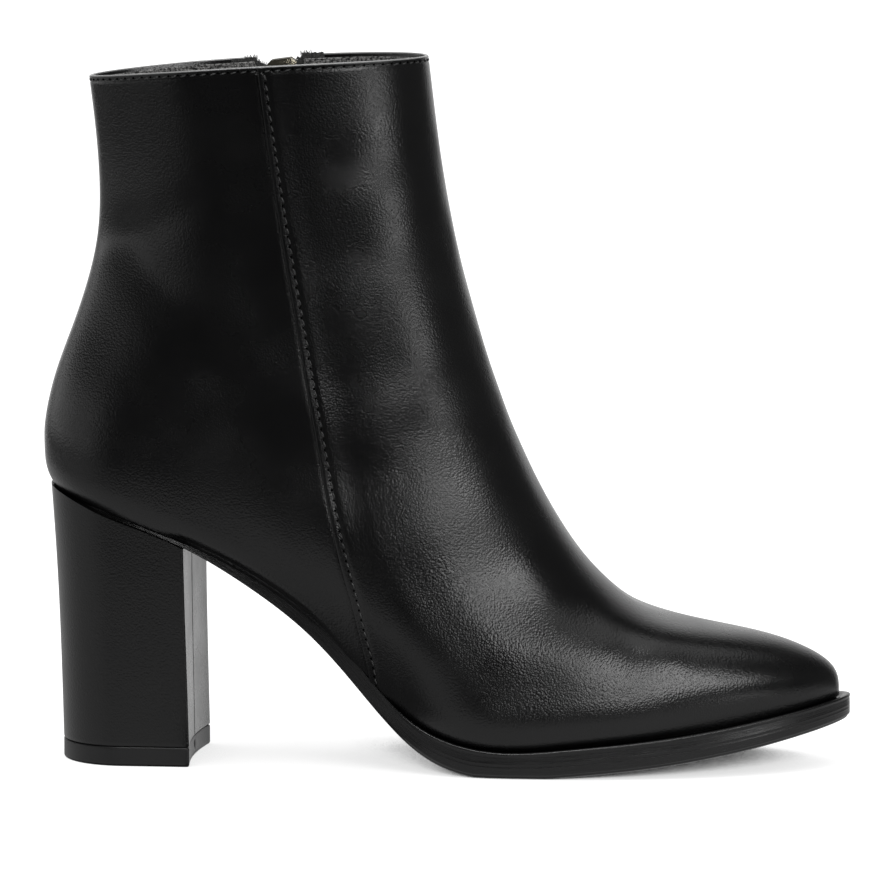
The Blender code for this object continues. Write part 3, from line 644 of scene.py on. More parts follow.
def waist_roll(w, v):
    """Along the waist the leather rolls under, to the sole's narrower edge."""
    x = skin(w, v)[..., 0]
    here = ease((x - ROLL_FROM) / (ROLL_FULL - ROLL_FROM))
    here = here * (1.0 - ease((x - ROLL_FADE) / (ROLL_GONE - ROLL_FADE)))
    return -ROLL_DEPTH * here * np.clip(1.0 - v / ROLL_LEVEL, 0.0, 1.0) ** 2


COLLAR_DIP, COLLAR_DIP_WIDE = 0.22, 0.6   # how deep and wide each row of stitches pulls
ZIP_DIP, ZIP_DIP_WIDE = 0.14, 0.8
ZIP_DIP_BELOW, ZIP_DIP_FADE = 0.02, 0.03   # levels below the slot
SEAM_DIP, SEAM_DIP_WIDE = 0.26, 0.75
GROOVE_DIP, GROOVE_WIDE = 0.30, 0.9   # the rear quarter along the folded edge


def sewing_dip(w, v):
    """Stitches pull the leather in along the collar and along the zip."""
    at_collar = COLLAR_DIP * hump(below_collar(w, v) - COLLAR_SEWN_AT, COLLAR_DIP_WIDE)
    from_slot = np.abs(np.mod(w, FULL_RING) - ZIP_AT) * zip_spread(v) - slot_half(v)
    at_zip = ZIP_DIP * hump(from_slot - ZIP_SEWN_AT, ZIP_DIP_WIDE)
    return -at_collar - at_zip * ease((v - ZIP_BOTTOM + ZIP_DIP_BELOW) / ZIP_DIP_FADE)


def front_height(w, v):
    """Height of the front panel's outer face over the last."""
    forward = (np.mod(w, FULL_RING) - SEAM_AT) * seam_spread(v)
    lap = LAP * (1.0 - ease(forward / LAP_FADE))
    sewn = SEAM_DIP * hump(forward - SEWN_AT, SEAM_DIP_WIDE)
    at_seam = np.where(on_outer(w), lap - sewn, 0.0)
    return at_seam + sewing_dip(w, v) + lasted_wall(w, v) + waist_roll(w, v)


def rear_height(w, v):
    """Height of the rear quarter: a groove along the seam, and lower under the front panel."""
    behind = (SEAM_AT - np.mod(w, FULL_RING)) * seam_spread(v)
    groove = -GROOVE_DIP * hump(np.maximum(behind, 0.0), GROOVE_WIDE)
    tucked = LAP * (1.0 - ease(-behind / LAP_FADE)) - LEATHER - UNDER_GAP
    at_seam = np.where(on_outer(w), np.where(behind < 0.0, tucked, groove), 0.0)
    return at_seam + sewing_dip(w, v) + waist_roll(w, v)


# %% One shell from an edge to an edge
def sheet_columns(rows, first, last, start_fine, stop_fine, middle):
    """Ring places of a sheet's columns on each row: close near its edges, even in between."""
    near = first[:, None] + np.asarray(start_fine)[None, :] / skin_frame(first, rows)[4][:, None]
    far = last[:, None] - np.asarray(stop_fine)[None, ::-1] / skin_frame(last, rows)[4][:, None]
    between = np.linspace(0.0, 1.0, middle + 2)[1:-1]
    inner_part = near[:, -1:] + (far[:, :1] - near[:, -1:]) * between[None, :]
    return np.concatenate((near, inner_part, far), axis=1)


def sheet_faces(rows, columns, ends=0):
    """Faces of stacked loops that run along a sheet, round its edge and back: side, foot and top.

    ends is how many points a loop has on each rounded edge.
    """
    count = 2 * (columns + ends)
    back = count - ends - 1
    top = (rows - 1) * count
    i = np.arange(columns - 1)
    strips = np.stack([i, i + 1, back - i - 1, back - i], axis=1)
    faces = [np.concatenate((stack_faces(rows, count), strips[:, ::-1], strips + top))]
    if ends:
        stop = np.arange(columns - 1, columns + ends + 1)[None, :]
        start = np.concatenate((np.arange(back, count), [0]))[None, :]
        faces.append(np.concatenate((stop[:, ::-1], stop + top, start[:, ::-1], start + top)))
    return faces


def shell(name, start, stop, start_fine, stop_fine, middle, height, thick, rim, material, levels,
          drop=0.0, depth=0.0):
    """A closed sheet on the last from ring place start to stop, with all its edges rounded.

    start and stop are functions of the level. The fine lists are distances from an edge, in mm,
    of the columns close to it. height gives the outer face, rim is the thickness at the top edge,
    depth sinks the whole sheet, and drop lowers its top edge.
    """
    rows = np.concatenate((levels, np.ones(len(RIM_TURNS))))
    w = sheet_columns(rows, start(rows), stop(rows), start_fine, stop_fine, middle)
    v = np.broadcast_to(rows[:, None], w.shape)
    point, across, up, out, _ = skin_frame(w, v)
    raised = height(w, v) - depth + fold_height(point, side_of(w))
    is_rim = np.concatenate((np.zeros(len(levels)), np.ones(len(RIM_TURNS))))
    turn = np.concatenate((np.zeros(len(levels)), RIM_TURNS))
    half = np.where(is_rim, rim, thick) / 2.0
    lift = is_rim * (half * (np.sin(turn) - 1.0) - drop)
    middle_face = point + out * (raised - half[:, None])[..., None] + up * lift[:, None, None]
    narrow = (half * np.cos(turn))[:, None, None]
    stop_end = [middle_face[:, -1:] + narrow * (out[:, -1:] * math.cos(a) + across[:, -1:] * math.sin(a))
                for a in ROUND_ENDS]
    start_end = [middle_face[:, :1] - narrow * (out[:, :1] * math.cos(a) + across[:, :1] * math.sin(a))
                 for a in ROUND_ENDS]
    outer_face, inner_face = middle_face + out * narrow, middle_face - out * narrow
    loops = np.concatenate((outer_face, *stop_end, inner_face[:, ::-1], *start_end), axis=1)
    loops[0, :, 2] = BOTTOM_LINE["edge_z"](loops[0, :, 0])
    # The rim is painted pale towards its top: a painted highlight, stored as edge.
    painted_rim_highlight = np.broadcast_to((is_rim * ease(turn / RIM_HIGHLIGHT_TURN))[:, None], loops.shape[:2])
    faces = sheet_faces(len(rows), w.shape[1], len(ROUND_ENDS))
    return add_piece(name, loops.reshape(-1, 3), faces, material, edge=painted_rim_highlight.ravel())


# %% The two panels
EDGE_FINE = (0.0, 0.35, 0.7, 1.05, 1.4, 1.75, 2.1, 2.5, 3.0, 3.6, 4.4, 5.4, 6.6, 8.0, 9.6)
LAP_FINE = np.linspace(0.0, UNDERLAP + 4.0, 19)
ZIP_FINE = (0.0, 0.5, 1.0, 1.5, 2.1, 2.7, 3.3, 4.2, 5.5)
FRONT_COLUMNS, REAR_COLUMNS = 140, 96
front_panel = shell(
    "front_panel", lambda v: np.full_like(v, SEAM_AT),
    lambda v: ZIP_AT - slot_half(v, -1.0) / zip_spread(v),
    EDGE_FINE, ZIP_FINE, FRONT_COLUMNS, front_height, LEATHER, ROLLED_EDGE, upper_leather, PANEL_LEVELS)
rear_quarter = shell(
    "rear_quarter", lambda v: ZIP_AT + slot_half(v, 1.0) / zip_spread(v),
    lambda v: FULL_RING + SEAM_AT + UNDERLAP / seam_spread(v),
    ZIP_FINE, LAP_FINE, REAR_COLUMNS, rear_height, LEATHER, ROLLED_EDGE, upper_leather, PANEL_LEVELS)
settle(front_panel, "boot", "upper_leather", "upper")
settle(rear_quarter, "boot", "upper_leather", "upper")

# %% [markdown]
# ## Lining
# Inside, a thin woven lining is sewn in just below the folded collar. It is the same kind of
# shell, sunk behind the leather, and its weave is a fine cross pattern of two waves.

# %% Woven cloth finish
CLOTH_ROUGH, CLOTH_SHINE, CLOTH_SHEEN = 0.85, 0.3, 0.15
WEAVE_SCALE = 0.32     # waves against the thread's size
FIBRE_RELIEF = 0.6     # of the fibres against the weave


def cloth(name, dark, light, thread, depth, fleck, contrast):
    """Plain weave of a thread size in mm: two crossed waves for relief, and flecks of fibre."""
    made, tree, shader, coords = start_material(name, CLOTH_ROUGH, CLOTH_SHINE)
    waves = []
    for direction in ("X", "Z"):
        waves.append(pattern(tree, "ShaderNodeTexWave", coords, WEAVE_SCALE / (thread * MM),
                             {"bands_direction": direction}, Distortion=1.2, Detail=1.0,
                             Detail_Scale=2.0).outputs["Fac"])
    fibre = noise(tree, coords, 1.0 / (fleck * MM), 2.0)
    shade = remap(tree, fibre, 0.5 - contrast, 0.5 + contrast, 0.0, 1.0)
    relief = bump(tree, calc(tree, "MULTIPLY", *waves), depth * MM)
    relief = bump(tree, fibre, depth * MM * FIBRE_RELIEF, relief)
    dress(tree, shader, Normal=relief, Base_Color=mix_colour(tree, shade, dark, light))
    shader.inputs["Sheen Weight"].default_value = CLOTH_SHEEN
    return made


lining_cloth = cloth("lining_cloth", (0.006, 0.006, 0.006), (0.26, 0.255, 0.25), 0.75, 0.22, 0.75, 0.13)
print("cloth:", lining_cloth.name)

# %% Lining
LINING = 0.65          # thickness
LINING_GAP, LINING_DROP = 0.05, 1.3   # behind the leather, and below the collar
LINING_TUCK = 1.0      # near the zip the lining lies behind the tapes
TUCK_FROM, TUCK_TO = 13.0, 18.0
LINING_HALF, LINING_FLARE = 5.8, 1.2   # its edges keep off the teeth and part at the collar
LINING_PARTS, LINING_PART_OVER = 0.95, 0.05
LINING_BACK = 1.2      # where the slot is narrow, its edges lie this far beside it
LINING_FINE, LINING_COLUMNS = (0.0, 1.0, 2.5), 150
LINING_LEVELS = np.linspace(0.0, 0.98, 76)


def lining_edge(v):
    """Ring distance of the lining's edge from the zip's middle."""
    widest = LINING_HALF + LINING_FLARE * ease((v - LINING_PARTS) / LINING_PART_OVER)
    return np.minimum(slot_half(v) + LINING_BACK, widest) / zip_spread(v)


def lining_height(w, v):
    """The lining covers the tapes from inside."""
    off = np.abs(np.mod(w, FULL_RING) - ZIP_AT) * zip_spread(v)
    return waist_roll(w, v) - LINING_TUCK * (1.0 - ease((off - TUCK_FROM) / (TUCK_TO - TUCK_FROM)))


lining = shell("lining", lambda v: ZIP_AT + lining_edge(v),
               lambda v: FULL_RING + ZIP_AT - lining_edge(v),
               LINING_FINE, LINING_FINE, LINING_COLUMNS, lining_height, LINING, LINING, lining_cloth,
               LINING_LEVELS, drop=LINING_DROP, depth=LEATHER + LINING_GAP)
settle(lining, "boot", "insole_leather")

# %% [markdown]
# ## Sole
# A thin moulded sole with a lip round the forepart. Its side has a rounded top edge over a shallow
# groove, two fine rib lines and a corner that rolls under to the floor. The waist's edge is plain
# and stands up against the leather. The outline of the upper's edge is offset for each loop of
# that profile, and the loops are stacked.

# %% Rubber finish with streaks along the side
RUBBER_SHINE = 0.4
RUBBER_GRAIN, RUBBER_RELIEF = 2600.0, 0.00003   # specks per metre, and their depth in metres
STREAK_STRETCH = (0.03, 1.0, 1.0)
RUBBER_DRIFT = 0.06


def rubber(name, dark, light, rough, streaks):
    """Matte rubber. Streaks follow the flow that the piece stores: along its side and up it."""
    made, tree, shader, coords = start_material(name, rough, RUBBER_SHINE)
    speck = noise(tree, coords, RUBBER_GRAIN, 2.0)
    shade, relief = speck, None
    if streaks:
        flow = node(tree, "ShaderNodeAttribute", {"attribute_name": "flow"}).outputs["Vector"]
        drawn = node(tree, "ShaderNodeMapping", None, Vector=flow, Scale=STREAK_STRETCH)
        shade = noise(tree, drawn.outputs["Vector"], RUBBER_GRAIN, 3.0)
        relief = bump(tree, shade, RUBBER_RELIEF)
    dress(tree, shader, Normal=bump(tree, speck, RUBBER_RELIEF, relief),
          Base_Color=mix_colour(tree, shade, dark, light),
          Roughness=uneven(tree, shade, rough, RUBBER_DRIFT, RUBBER_DRIFT))
    return made


sole_rubber = rubber("sole_rubber", (0.002, 0.002, 0.0021), (0.008, 0.008, 0.0082), 0.27, True)
lift_rubber = rubber("lift_rubber", (0.004, 0.004, 0.0042), (0.009, 0.009, 0.0092), 0.42, False)
print("rubbers:", sole_rubber.name, lift_rubber.name)

# %% Outline of the upper's lower edge
LIP_COLUMNS = ("x", "out")
LIP = ((-2.0, -1.5), (38.0, -1.5), (48.0, -1.8), (78.0, -1.8), (100.0, 1.2), (130.0, 2.6), (160.0, 3.2),
       (242.0, 3.2))
LIP_LINE = table(LIP_COLUMNS, LIP)
WAIST_RISE = 1.7       # the waist's edge stands up against the leather,
RISE_INSET = 0.5       # but not what lies further in than this
RISE_FROM, RISE_FULL, RISE_FADE, RISE_TO = 40.0, 52.0, 88.0, 116.0
FORE_FROM, FORE_TO = 95.0, 125.0
WAIST_LEAN = 0.3       # the waist's edge is this much wider below than above
SOLE_STEPS = 190


def edge_out(w):
    """Flat direction out of the upper's lower edge, square to its outline seen from above."""
    step = skin(w + DW, np.zeros_like(w)) - skin(w - DW, np.zeros_like(w))
    out = np.stack([step[..., 1], -step[..., 0], np.zeros_like(w)], axis=-1)
    return out / np.linalg.norm(out, axis=-1, keepdims=True)


def outline_loop(reach):
    """Closed loop round the foot, offset from the upper's edge by reach of x."""
    near = np.linspace(0.0, 1.0, SOLE_STEPS + 1)
    w = np.concatenate((near, (2.0 - near)[-2:0:-1]))
    point, out = skin(w, np.zeros_like(w)), edge_out(w)
    return point + out * reach(point[:, 0])[:, None]


def cap_faces(start, count):
    """Quads and end triangles across a loop, joining each station of one side to the other."""
    half = count // 2
    i = np.arange(1, half - 1)
    quads = start + np.stack([i, i + 1, count - i - 1, count - i], axis=1)
    ends = start + np.array([[0, 1, count - 1], [half - 1, half, half + 1]])
    return quads, ends


def closed_loops(name, loops, material, **stored):
    """A piece of stacked loops round the foot, closed across its lowest and its top loop."""
    count = len(loops[0])
    low_quads, low_ends = cap_faces(0, count)
    top_quads, top_ends = cap_faces((len(loops) - 1) * count, count)
    quads = np.concatenate((stack_faces(len(loops), count), low_quads[:, ::-1], top_quads))
    ends = np.concatenate((low_ends[:, ::-1], top_ends))
    return add_piece(name, np.concatenate(loops), [quads, ends], material, **stored)


def run_along(line):
    """Distance of each point of a line from its start."""
    return np.concatenate(([0.0], np.cumsum(np.linalg.norm(np.diff(line, axis=0), axis=1))))


sole_outline = run_along(outline_loop(LIP_LINE["out"]))
print("outline of the sole in mm:", round(float(sole_outline[-1])))

# %% Sole
SOLE_PROFILE = (   # part of the height, inset, extra height in mm
    (0.0, 3.0, 0.0), (0.015, 1.7, 0.0), (0.04, 1.1, 0.0), (0.07, 0.75, 0.0), (0.10, 0.62, 0.0),
    (0.12, 0.60, 0.0), (0.14, 0.40, 0.0), (0.16, 0.14, 0.0), (0.19, 0.03, 0.0), (0.24, 0.0, 0.0),
    (0.40, 0.0, 0.0), (0.415, -0.02, 0.0), (0.43, -0.035, 0.0), (0.445, -0.02, 0.0), (0.46, 0.0, 0.0),
    (0.54, 0.0, 0.0), (0.555, -0.02, 0.0), (0.57, -0.035, 0.0), (0.585, -0.02, 0.0), (0.60, 0.0, 0.0),
    (0.72, 0.03, 0.0), (0.82, 0.08, 0.0), (0.86, 0.10, 0.0), (0.885, 0.02, 0.0), (0.91, -0.06, 0.0),
    (0.94, -0.08, 0.0), (0.965, 0.0, 0.0), (0.985, 0.18, 0.0), (1.0, 0.5, 0.0), (1.0, 0.9, 0.03),
    (1.0, 1.5, 0.0), (1.0, 2.1, -0.15), (1.0, 2.6, -0.5), (1.0, 3.1, -0.8), (1.0, 3.7, -0.7),
    (1.0, 4.5, 0.0), (1.0, 5.5, 0.05),
)


def waist_rise(x):
    """Height that the edge gains along the waist, between the heel and the forepart."""
    fades = 1.0 - ease((x - RISE_FADE) / (RISE_TO - RISE_FADE))
    return WAIST_RISE * ease((x - RISE_FROM) / (RISE_FULL - RISE_FROM)) * fades


def side_inset(x, part, inset):
    """The forepart's side has ribs and rolls under. The waist's is plain and leans in upwards."""
    fore = ease((x - FORE_FROM) / (FORE_TO - FORE_FROM))
    return inset * (fore if part < 1.0 else 1.0) + WAIST_LEAN * (part - 0.5) * (1.0 - fore)


def make_sole():
    """The sole, with the flow for its streaks: the run along its side and the way up it."""
    loops, flow = [], []
    for part, inset, extra in SOLE_PROFILE:
        loop = outline_loop(lambda x: LIP_LINE["out"](x) - side_inset(x, part, inset))
        under = np.maximum(BOTTOM_LINE["under_z"](loop[:, 0]), 0.0)
        top = BOTTOM_LINE["edge_z"](loop[:, 0])
        top = top + waist_rise(loop[:, 0]) * (1.0 - ease(inset - RISE_INSET))
        loop[:, 2] = under + (top - under) * part + extra
        loops.append(loop)
        run = run_along(loops[0])
        flow.append(np.stack([run, (top - under) * part - inset, np.zeros_like(run)], axis=1))
    return closed_loops("sole", loops, sole_rubber, flow=np.concatenate(flow) * MM)


settle(make_sole(), "boot", "sole_rubber", "outsole")

# %% [markdown]
# ## Insole
# The foot stands on a thin padded sheet of soft leather with a rounded edge, cut just inside the
# upper. It is seen only by looking down the shaft.

# %% Insole
UPPER_WALL = 1.8       # thickness of the upper's solid
INSOLE_CLEAR = 0.35
INSOLE_PROFILE = (   # height and inset in mm
    (0.0, 0.0), (1.5, 0.0), (1.9, 0.15), (2.15, 0.55), (2.3, 1.3), (2.45, 4.0), (2.5, 9.0))
insole_leather = leather("insole_leather", (0.02, 0.019, 0.018), (0.034, 0.032, 0.03),
                         0.6, 0.8, 0.06, 0.0)


def make_insole():
    """A padded sheet on the sole, inside the upper's wall."""
    loops = []
    for lift, inset in INSOLE_PROFILE:
        loop = outline_loop(lambda x: np.full_like(x, -UPPER_WALL - INSOLE_CLEAR - inset))
        loop[:, 2] = BOTTOM_LINE["edge_z"](loop[:, 0]) + lift
        loops.append(loop)
    return closed_loops("sock_insole", loops, insole_leather)


settle(make_insole(), "boot", "insole_leather", "insole")

# %% [markdown]
# ## Covered heel and its top lift
# A block heel is a D in section: round at the back and slightly hollow at the breast, the face
# that looks toward the toe. One piece of leather wraps round it, and its two ends meet in a fine
# closed seam down the middle of the breast. Under it sits the top lift, the rubber piece that wears.

# %% Heel section
HEEL_STEPS, SIDE_STEPS, BEND_STEPS = 44, 8, 6
BREAST_CORNER = 0.9
COVER_GROOVE, COVER_GROOVE_WIDE = 0.35, 0.32   # the closed seam down the breast
BREAST_ACROSS = np.concatenate((np.linspace(-0.955, -0.06, 16), np.linspace(-0.045, 0.045, 15),
                                np.linspace(0.06, 0.955, 16)))


def heel_section(part, inset, groove=0.0):
    """One loop of the heel: back curve, straight sides, round corners and the hollow breast."""
    row = {name: float(curve(part)) for name, curve in HEEL_LINE.items()}
    back, breast, half = row["back_x"] + inset, row["breast_x"] - inset, row["half"] - inset
    turn = np.linspace(0.0, math.pi / 2.0, HEEL_STEPS + 1)
    round_x = back + row["round_len"] * (1.0 - np.cos(turn))
    straight = np.linspace(round_x[-1], breast - BREAST_CORNER, SIDE_STEPS)[1:]
    side_x = np.concatenate((round_x, straight))
    side_y = half * np.concatenate((np.sin(turn), np.ones(len(straight))))
    front_y = BREAST_ACROSS * half
    hollow = row["hollow"] * (1.0 - BREAST_ACROSS ** 2)
    front_x = breast - hollow - groove * hump(front_y, COVER_GROOVE_WIDE)
    bend = np.linspace(0.0, 1.0, BEND_STEPS)[1:-1]
    begin, tip = np.array([breast - BREAST_CORNER, -half]), np.array([breast, -half])
    finish = np.array([front_x[0], front_y[0]])
    corner = np.array([(1 - b) ** 2 * begin + 2 * b * (1 - b) * tip + b * b * finish for b in bend])
    mirror = np.array([1.0, -1.0])
    outer_side = np.stack([side_x, -side_y], axis=1)
    return np.concatenate((outer_side, corner, np.stack([front_x, front_y], axis=1),
                           (corner * mirror)[::-1], (outer_side * mirror)[:0:-1]))


def heel_stack(name, rows, material):
    """Loops of heel sections at heights, closed by a fan of faces at each end."""
    count = len(rows[0])
    points = np.concatenate(rows)
    middle = np.array([rows[0].mean(0), rows[-1].mean(0)])
    points = np.concatenate((points, middle))
    i = np.arange(count)
    after = (i + 1) % count
    last = (len(rows) - 1) * count
    low = np.stack([after, i, np.full(count, len(points) - 2)], axis=1)
    top = np.stack([last + i, last + after, np.full(count, len(points) - 1)], axis=1)
    return add_piece(name, points, [stack_faces(len(rows), count), np.concatenate((low, top))], material)


# %% Heel cover
LIFT_THICK, LIFT_GAP, SEAT_GAP = 5.8, 0.12, 0.15
HEEL_SHARP = math.radians(50.0)   # edges past this turn stay sharp
HEEL_ROWS = ((0.0, 0.9), (0.0, 0.35), (0.002, 0.12), (0.006, 0.0),
             *((part, 0.0) for part in np.linspace(0.02, 0.99, 41)), (1.0, 0.0))
SEAT_RISE, RISE_LENGTH = 1.6, 26.0   # at the back the cover comes up round the sole's thin end


def make_heel():
    """The leather cover, from the top lift up to the sole."""
    rows = []
    low = LIFT_THICK + LIFT_GAP
    for part, inset in HEEL_ROWS:
        flat = heel_section(part, inset, COVER_GROOVE)
        seat = BOTTOM_LINE["under_z"](flat[:, 0]) - SEAT_GAP
        seat = seat + SEAT_RISE * (1.0 - ease((flat[:, 0] - HEEL[-1][1]) / RISE_LENGTH))
        rows.append(np.column_stack((flat, low + (seat - low) * part)))
    made = heel_stack("heel_cover", rows, heel_leather)
    made.data.set_sharp_from_angle(angle=HEEL_SHARP)
    return made


settle(make_heel(), "boot", "heel_leather", "heel")

# %% Top lift
LIFT_ROWS = (   # height and inset in mm
    (0.0, 1.2), (0.0, 0.55), (0.15, 0.22), (0.5, 0.0), (1.4, 0.0), (2.2, 0.0), (3.0, 0.0),
    (3.8, 0.0), (4.6, 0.0), (5.3, 0.0), (5.6, 0.08), (5.8, 0.35), (5.8, 1.2))
NOTCH_Z, NOTCH_SIZE, NOTCH_DEPTH = 3.4, 0.9, 0.7   # a moulded dimple in the breast
BREAST_FROM = 40.0     # x from which a section belongs to the breast


def make_lift():
    """The rubber piece that wears, with a dimple in its breast."""
    rows = []
    for z, inset in LIFT_ROWS:
        flat = heel_section(0.0, inset)
        dimple = NOTCH_DEPTH * hump(np.hypot(flat[:, 1], z - NOTCH_Z), NOTCH_SIZE)
        flat[:, 0] -= np.where(flat[:, 0] > BREAST_FROM, dimple, 0.0)
        rows.append(np.column_stack((flat, np.full(len(flat), z))))
    return heel_stack("lift", rows, lift_rubber)


settle(make_lift(), "boot", "lift_rubber", "top_lift")

# %% [markdown]
# ## Stitches, by Geometry Nodes
# A row of stitches is one small shape that repeats along a line on the leather. A node tree does
# that well: it cuts the line into equal steps, puts a grain of thread at each step with a black dot
# beside it, painted shade for the needle hole, stands both on the leather and turns them along
# the line with a slight slant, as a sewing machine leaves them.

# %% What the trees share
def new_tree(name, **kinds):
    """A geometry tree that takes a path and named inputs, each with its kind of socket."""
    tree = bpy.data.node_groups.new(name, "GeometryNodeTree")
    for label, kind in {"Path": "Geometry", **kinds}.items():
        tree.interface.new_socket(label, in_out="INPUT", socket_type="NodeSocket" + kind)
    tree.interface.new_socket("Made", in_out="OUTPUT", socket_type="NodeSocketGeometry")
    return tree, tree.nodes.new("NodeGroupInput").outputs, tree.nodes.new("NodeGroupOutput").inputs


def steps_on_path(tree, path, step):
    """Points at equal steps along the path, and the turn that stands a shape on the leather."""
    curve = node(tree, "GeometryNodeMeshToCurve", None, Mesh=path)
    points = node(tree, "GeometryNodeResampleCurve", {"mode": "LENGTH"}, Curve=curve.outputs["Curve"],
                  Length=step)
    out = node(tree, "GeometryNodeInputNamedAttribute", {"data_type": "FLOAT_VECTOR"}, Name="out")
    tangent = node(tree, "GeometryNodeInputTangent")
    stand = node(tree, "FunctionNodeAlignRotationToVector", {"axis": "Z"},
                 Vector=out.outputs["Attribute"])
    along = node(tree, "FunctionNodeAlignRotationToVector", {"axis": "X", "pivot_axis": "Z"},
                 Rotation=stand.outputs["Rotation"], Vector=tangent.outputs["Tangent"])
    return points.outputs["Curve"], along.outputs["Rotation"]


def shaped(tree, mesh, size, place=(0.0, 0.0, 0.0)):
    """A mesh stretched to a size and moved to a place."""
    return node(tree, "GeometryNodeTransform", None, Geometry=mesh, Translation=place,
                Scale=size).outputs["Geometry"]


def painted(tree, shape, finish):
    """A shape with a finish."""
    return node(tree, "GeometryNodeSetMaterial", None, Geometry=shape,
                Material=finish).outputs["Geometry"]


def set_on_points(tree, points, shape, turn, extra_turn):
    """The shape at every point, turned once more about its own axes, as plain smooth faces."""
    turned = node(tree, "FunctionNodeRotateRotation", {"rotation_space": "LOCAL"}, Rotation=turn,
                  Rotate_By=extra_turn)
    placed = node(tree, "GeometryNodeInstanceOnPoints", None, Points=points, Instance=shape,
                  Rotation=turned.outputs["Rotation"])
    real = node(tree, "GeometryNodeRealizeInstances", None, Geometry=placed.outputs["Instances"])
    smooth = node(tree, "GeometryNodeSetShadeSmooth", None, Geometry=real.outputs["Geometry"])
    return smooth.outputs["Geometry"]


# %% A tree that sews along a path
GRAIN_SEGMENTS, GRAIN_RINGS = 8, 6
HOLE_FLAT = 0.3        # a needle hole's height against its width


def make_stitch_tree():
    """A grain of thread at each step, and half a step farther on a black dot for the needle hole:
    painted shade.
    """
    tree, given, result = new_tree("stitch_row", Pitch="Float", Length="Float", Thread="Float",
                                   Slant="Float", Hole="Float", Finish="Material", Dark="Material")
    points, turn = steps_on_path(tree, given["Path"], given["Pitch"])
    ball = node(tree, "GeometryNodeMeshUVSphere", None, Segments=GRAIN_SEGMENTS, Rings=GRAIN_RINGS,
                Radius=0.5).outputs["Mesh"]
    grain = shaped(tree, ball, vector(tree, given["Length"], given["Thread"], given["Thread"]))
    half_step = vector(tree, calc(tree, "MULTIPLY", given["Pitch"], 0.5))
    # The needle hole is a flat black dot: painted shade.
    flat = calc(tree, "MULTIPLY", given["Hole"], HOLE_FLAT)
    hole = shaped(tree, ball, vector(tree, given["Hole"], given["Hole"], flat), half_step)
    stitch = node(tree, "GeometryNodeJoinGeometry")
    for part in (painted(tree, hole, given["Dark"]), painted(tree, grain, given["Finish"])):
        tree.links.new(part, stitch.inputs["Geometry"])
    slant = vector(tree, 0.0, 0.0, given["Slant"])
    sewn = set_on_points(tree, points, stitch.outputs["Geometry"], turn, slant)
    tree.links.new(sewn, result["Made"])
    return tree


stitch_tree = make_stitch_tree()
print("stitch tree:", len(stitch_tree.nodes), "nodes")

# %% Growing a piece on a path
def path_object(points, outs):
    """A line of edges that keeps the leather's outward direction at each point."""
    mesh = bpy.data.meshes.new("path")
    line = ((np.asarray(points) + SHIFT) * MM).tolist()
    mesh.from_pydata(line, [(i, i + 1) for i in range(len(line) - 1)], [])
    keep(mesh, "out", np.asarray(outs, float))
    return add_object("path", mesh)


def grow(name, path, tree, **inputs):
    """Runs a tree on a path and keeps its result as a plain mesh."""
    made_by = path.modifiers.new("grow", "NODES")
    made_by.node_group = tree
    for item in tree.interface.items_tree:
        if item.item_type == "SOCKET" and item.in_out == "INPUT" and item.name in inputs:
            made_by[item.identifier] = inputs[item.name]
    bpy.context.view_layer.update()
    graph = bpy.context.evaluated_depsgraph_get()
    mesh = bpy.data.meshes.new_from_object(path.evaluated_get(graph))
    path.modifiers.remove(made_by)
    bpy.data.objects.remove(path, do_unlink=True)
    mesh.name = name
    print(f"{name}: {len(mesh.polygons)} faces")
    return add_object(name, mesh)


# %% Thread and needle holes
THREAD_ROUGH, THREAD_SHINE = 0.42, 0.5
THREAD_TWIST, TWIST_RELIEF = 900.0, 0.00006   # turns per metre, and their depth in metres


def thread_finish():
    """Waxed black thread: two plies that twist along it."""
    made, tree, shader, coords = start_material("sewing_thread", THREAD_ROUGH, THREAD_SHINE)
    twist = pattern(tree, "ShaderNodeTexWave", coords, THREAD_TWIST, {"bands_direction": "DIAGONAL"},
                    Distortion=1.0).outputs["Fac"]
    dress(tree, shader, Normal=bump(tree, twist, TWIST_RELIEF),
          Base_Color=mix_colour(tree, twist, (0.010, 0.010, 0.010), (0.030, 0.030, 0.030)))
    return made


sewing_thread = thread_finish()
# Plain black for painted shade: the needle holes and the shadow line of the seam.
painted_shade_black = start_material("painted_shade_black", 0.9, 0.0, (0.001, 0.001, 0.001))[0]
print("sewing finishes:", sewing_thread.name, painted_shade_black.name)

# %% Sewing on the leather
STITCH_PITCH, STITCH_LENGTH, STITCH_THREAD = 3.0, 1.9, 0.50
STITCH_SLANT = math.radians(12.0)
STITCH_LIFT = 0.06     # the thread's middle over the leather
NEEDLE_HOLE = 0.75


def on_leather(w, v, height, lift):
    """Points just over a panel's outer face, with their outward directions."""
    point, _, _, out, _ = skin_frame(w, v)
    over = height(w, v) + fold_height(point, side_of(w)) + lift
    return point + out * over[:, None], out


def sew(name, w, v, height):
    """A row of stitches through the given places of a panel."""
    path = path_object(*on_leather(w, v, height, STITCH_LIFT))
    made = grow(name, path, stitch_tree, Pitch=STITCH_PITCH * MM, Length=STITCH_LENGTH * MM,
                Thread=STITCH_THREAD * MM, Slant=STITCH_SLANT, Hole=NEEDLE_HOLE * MM,
                Finish=sewing_thread, Dark=painted_shade_black)
    return settle(made, "boot", "zip_fabric")


# %% Seam: a painted shadow line in its corner, and its stitches
SHADOW_LINE_WIDE, SHADOW_LINE_HIGH, SHADOW_LINE_AT = 0.24, 0.14, 0.22   # half sizes, and its place behind the edge
SHADOW_LINE_SIDES = 8
SEAM_LEVELS = np.linspace(0.004, 0.985, 400)


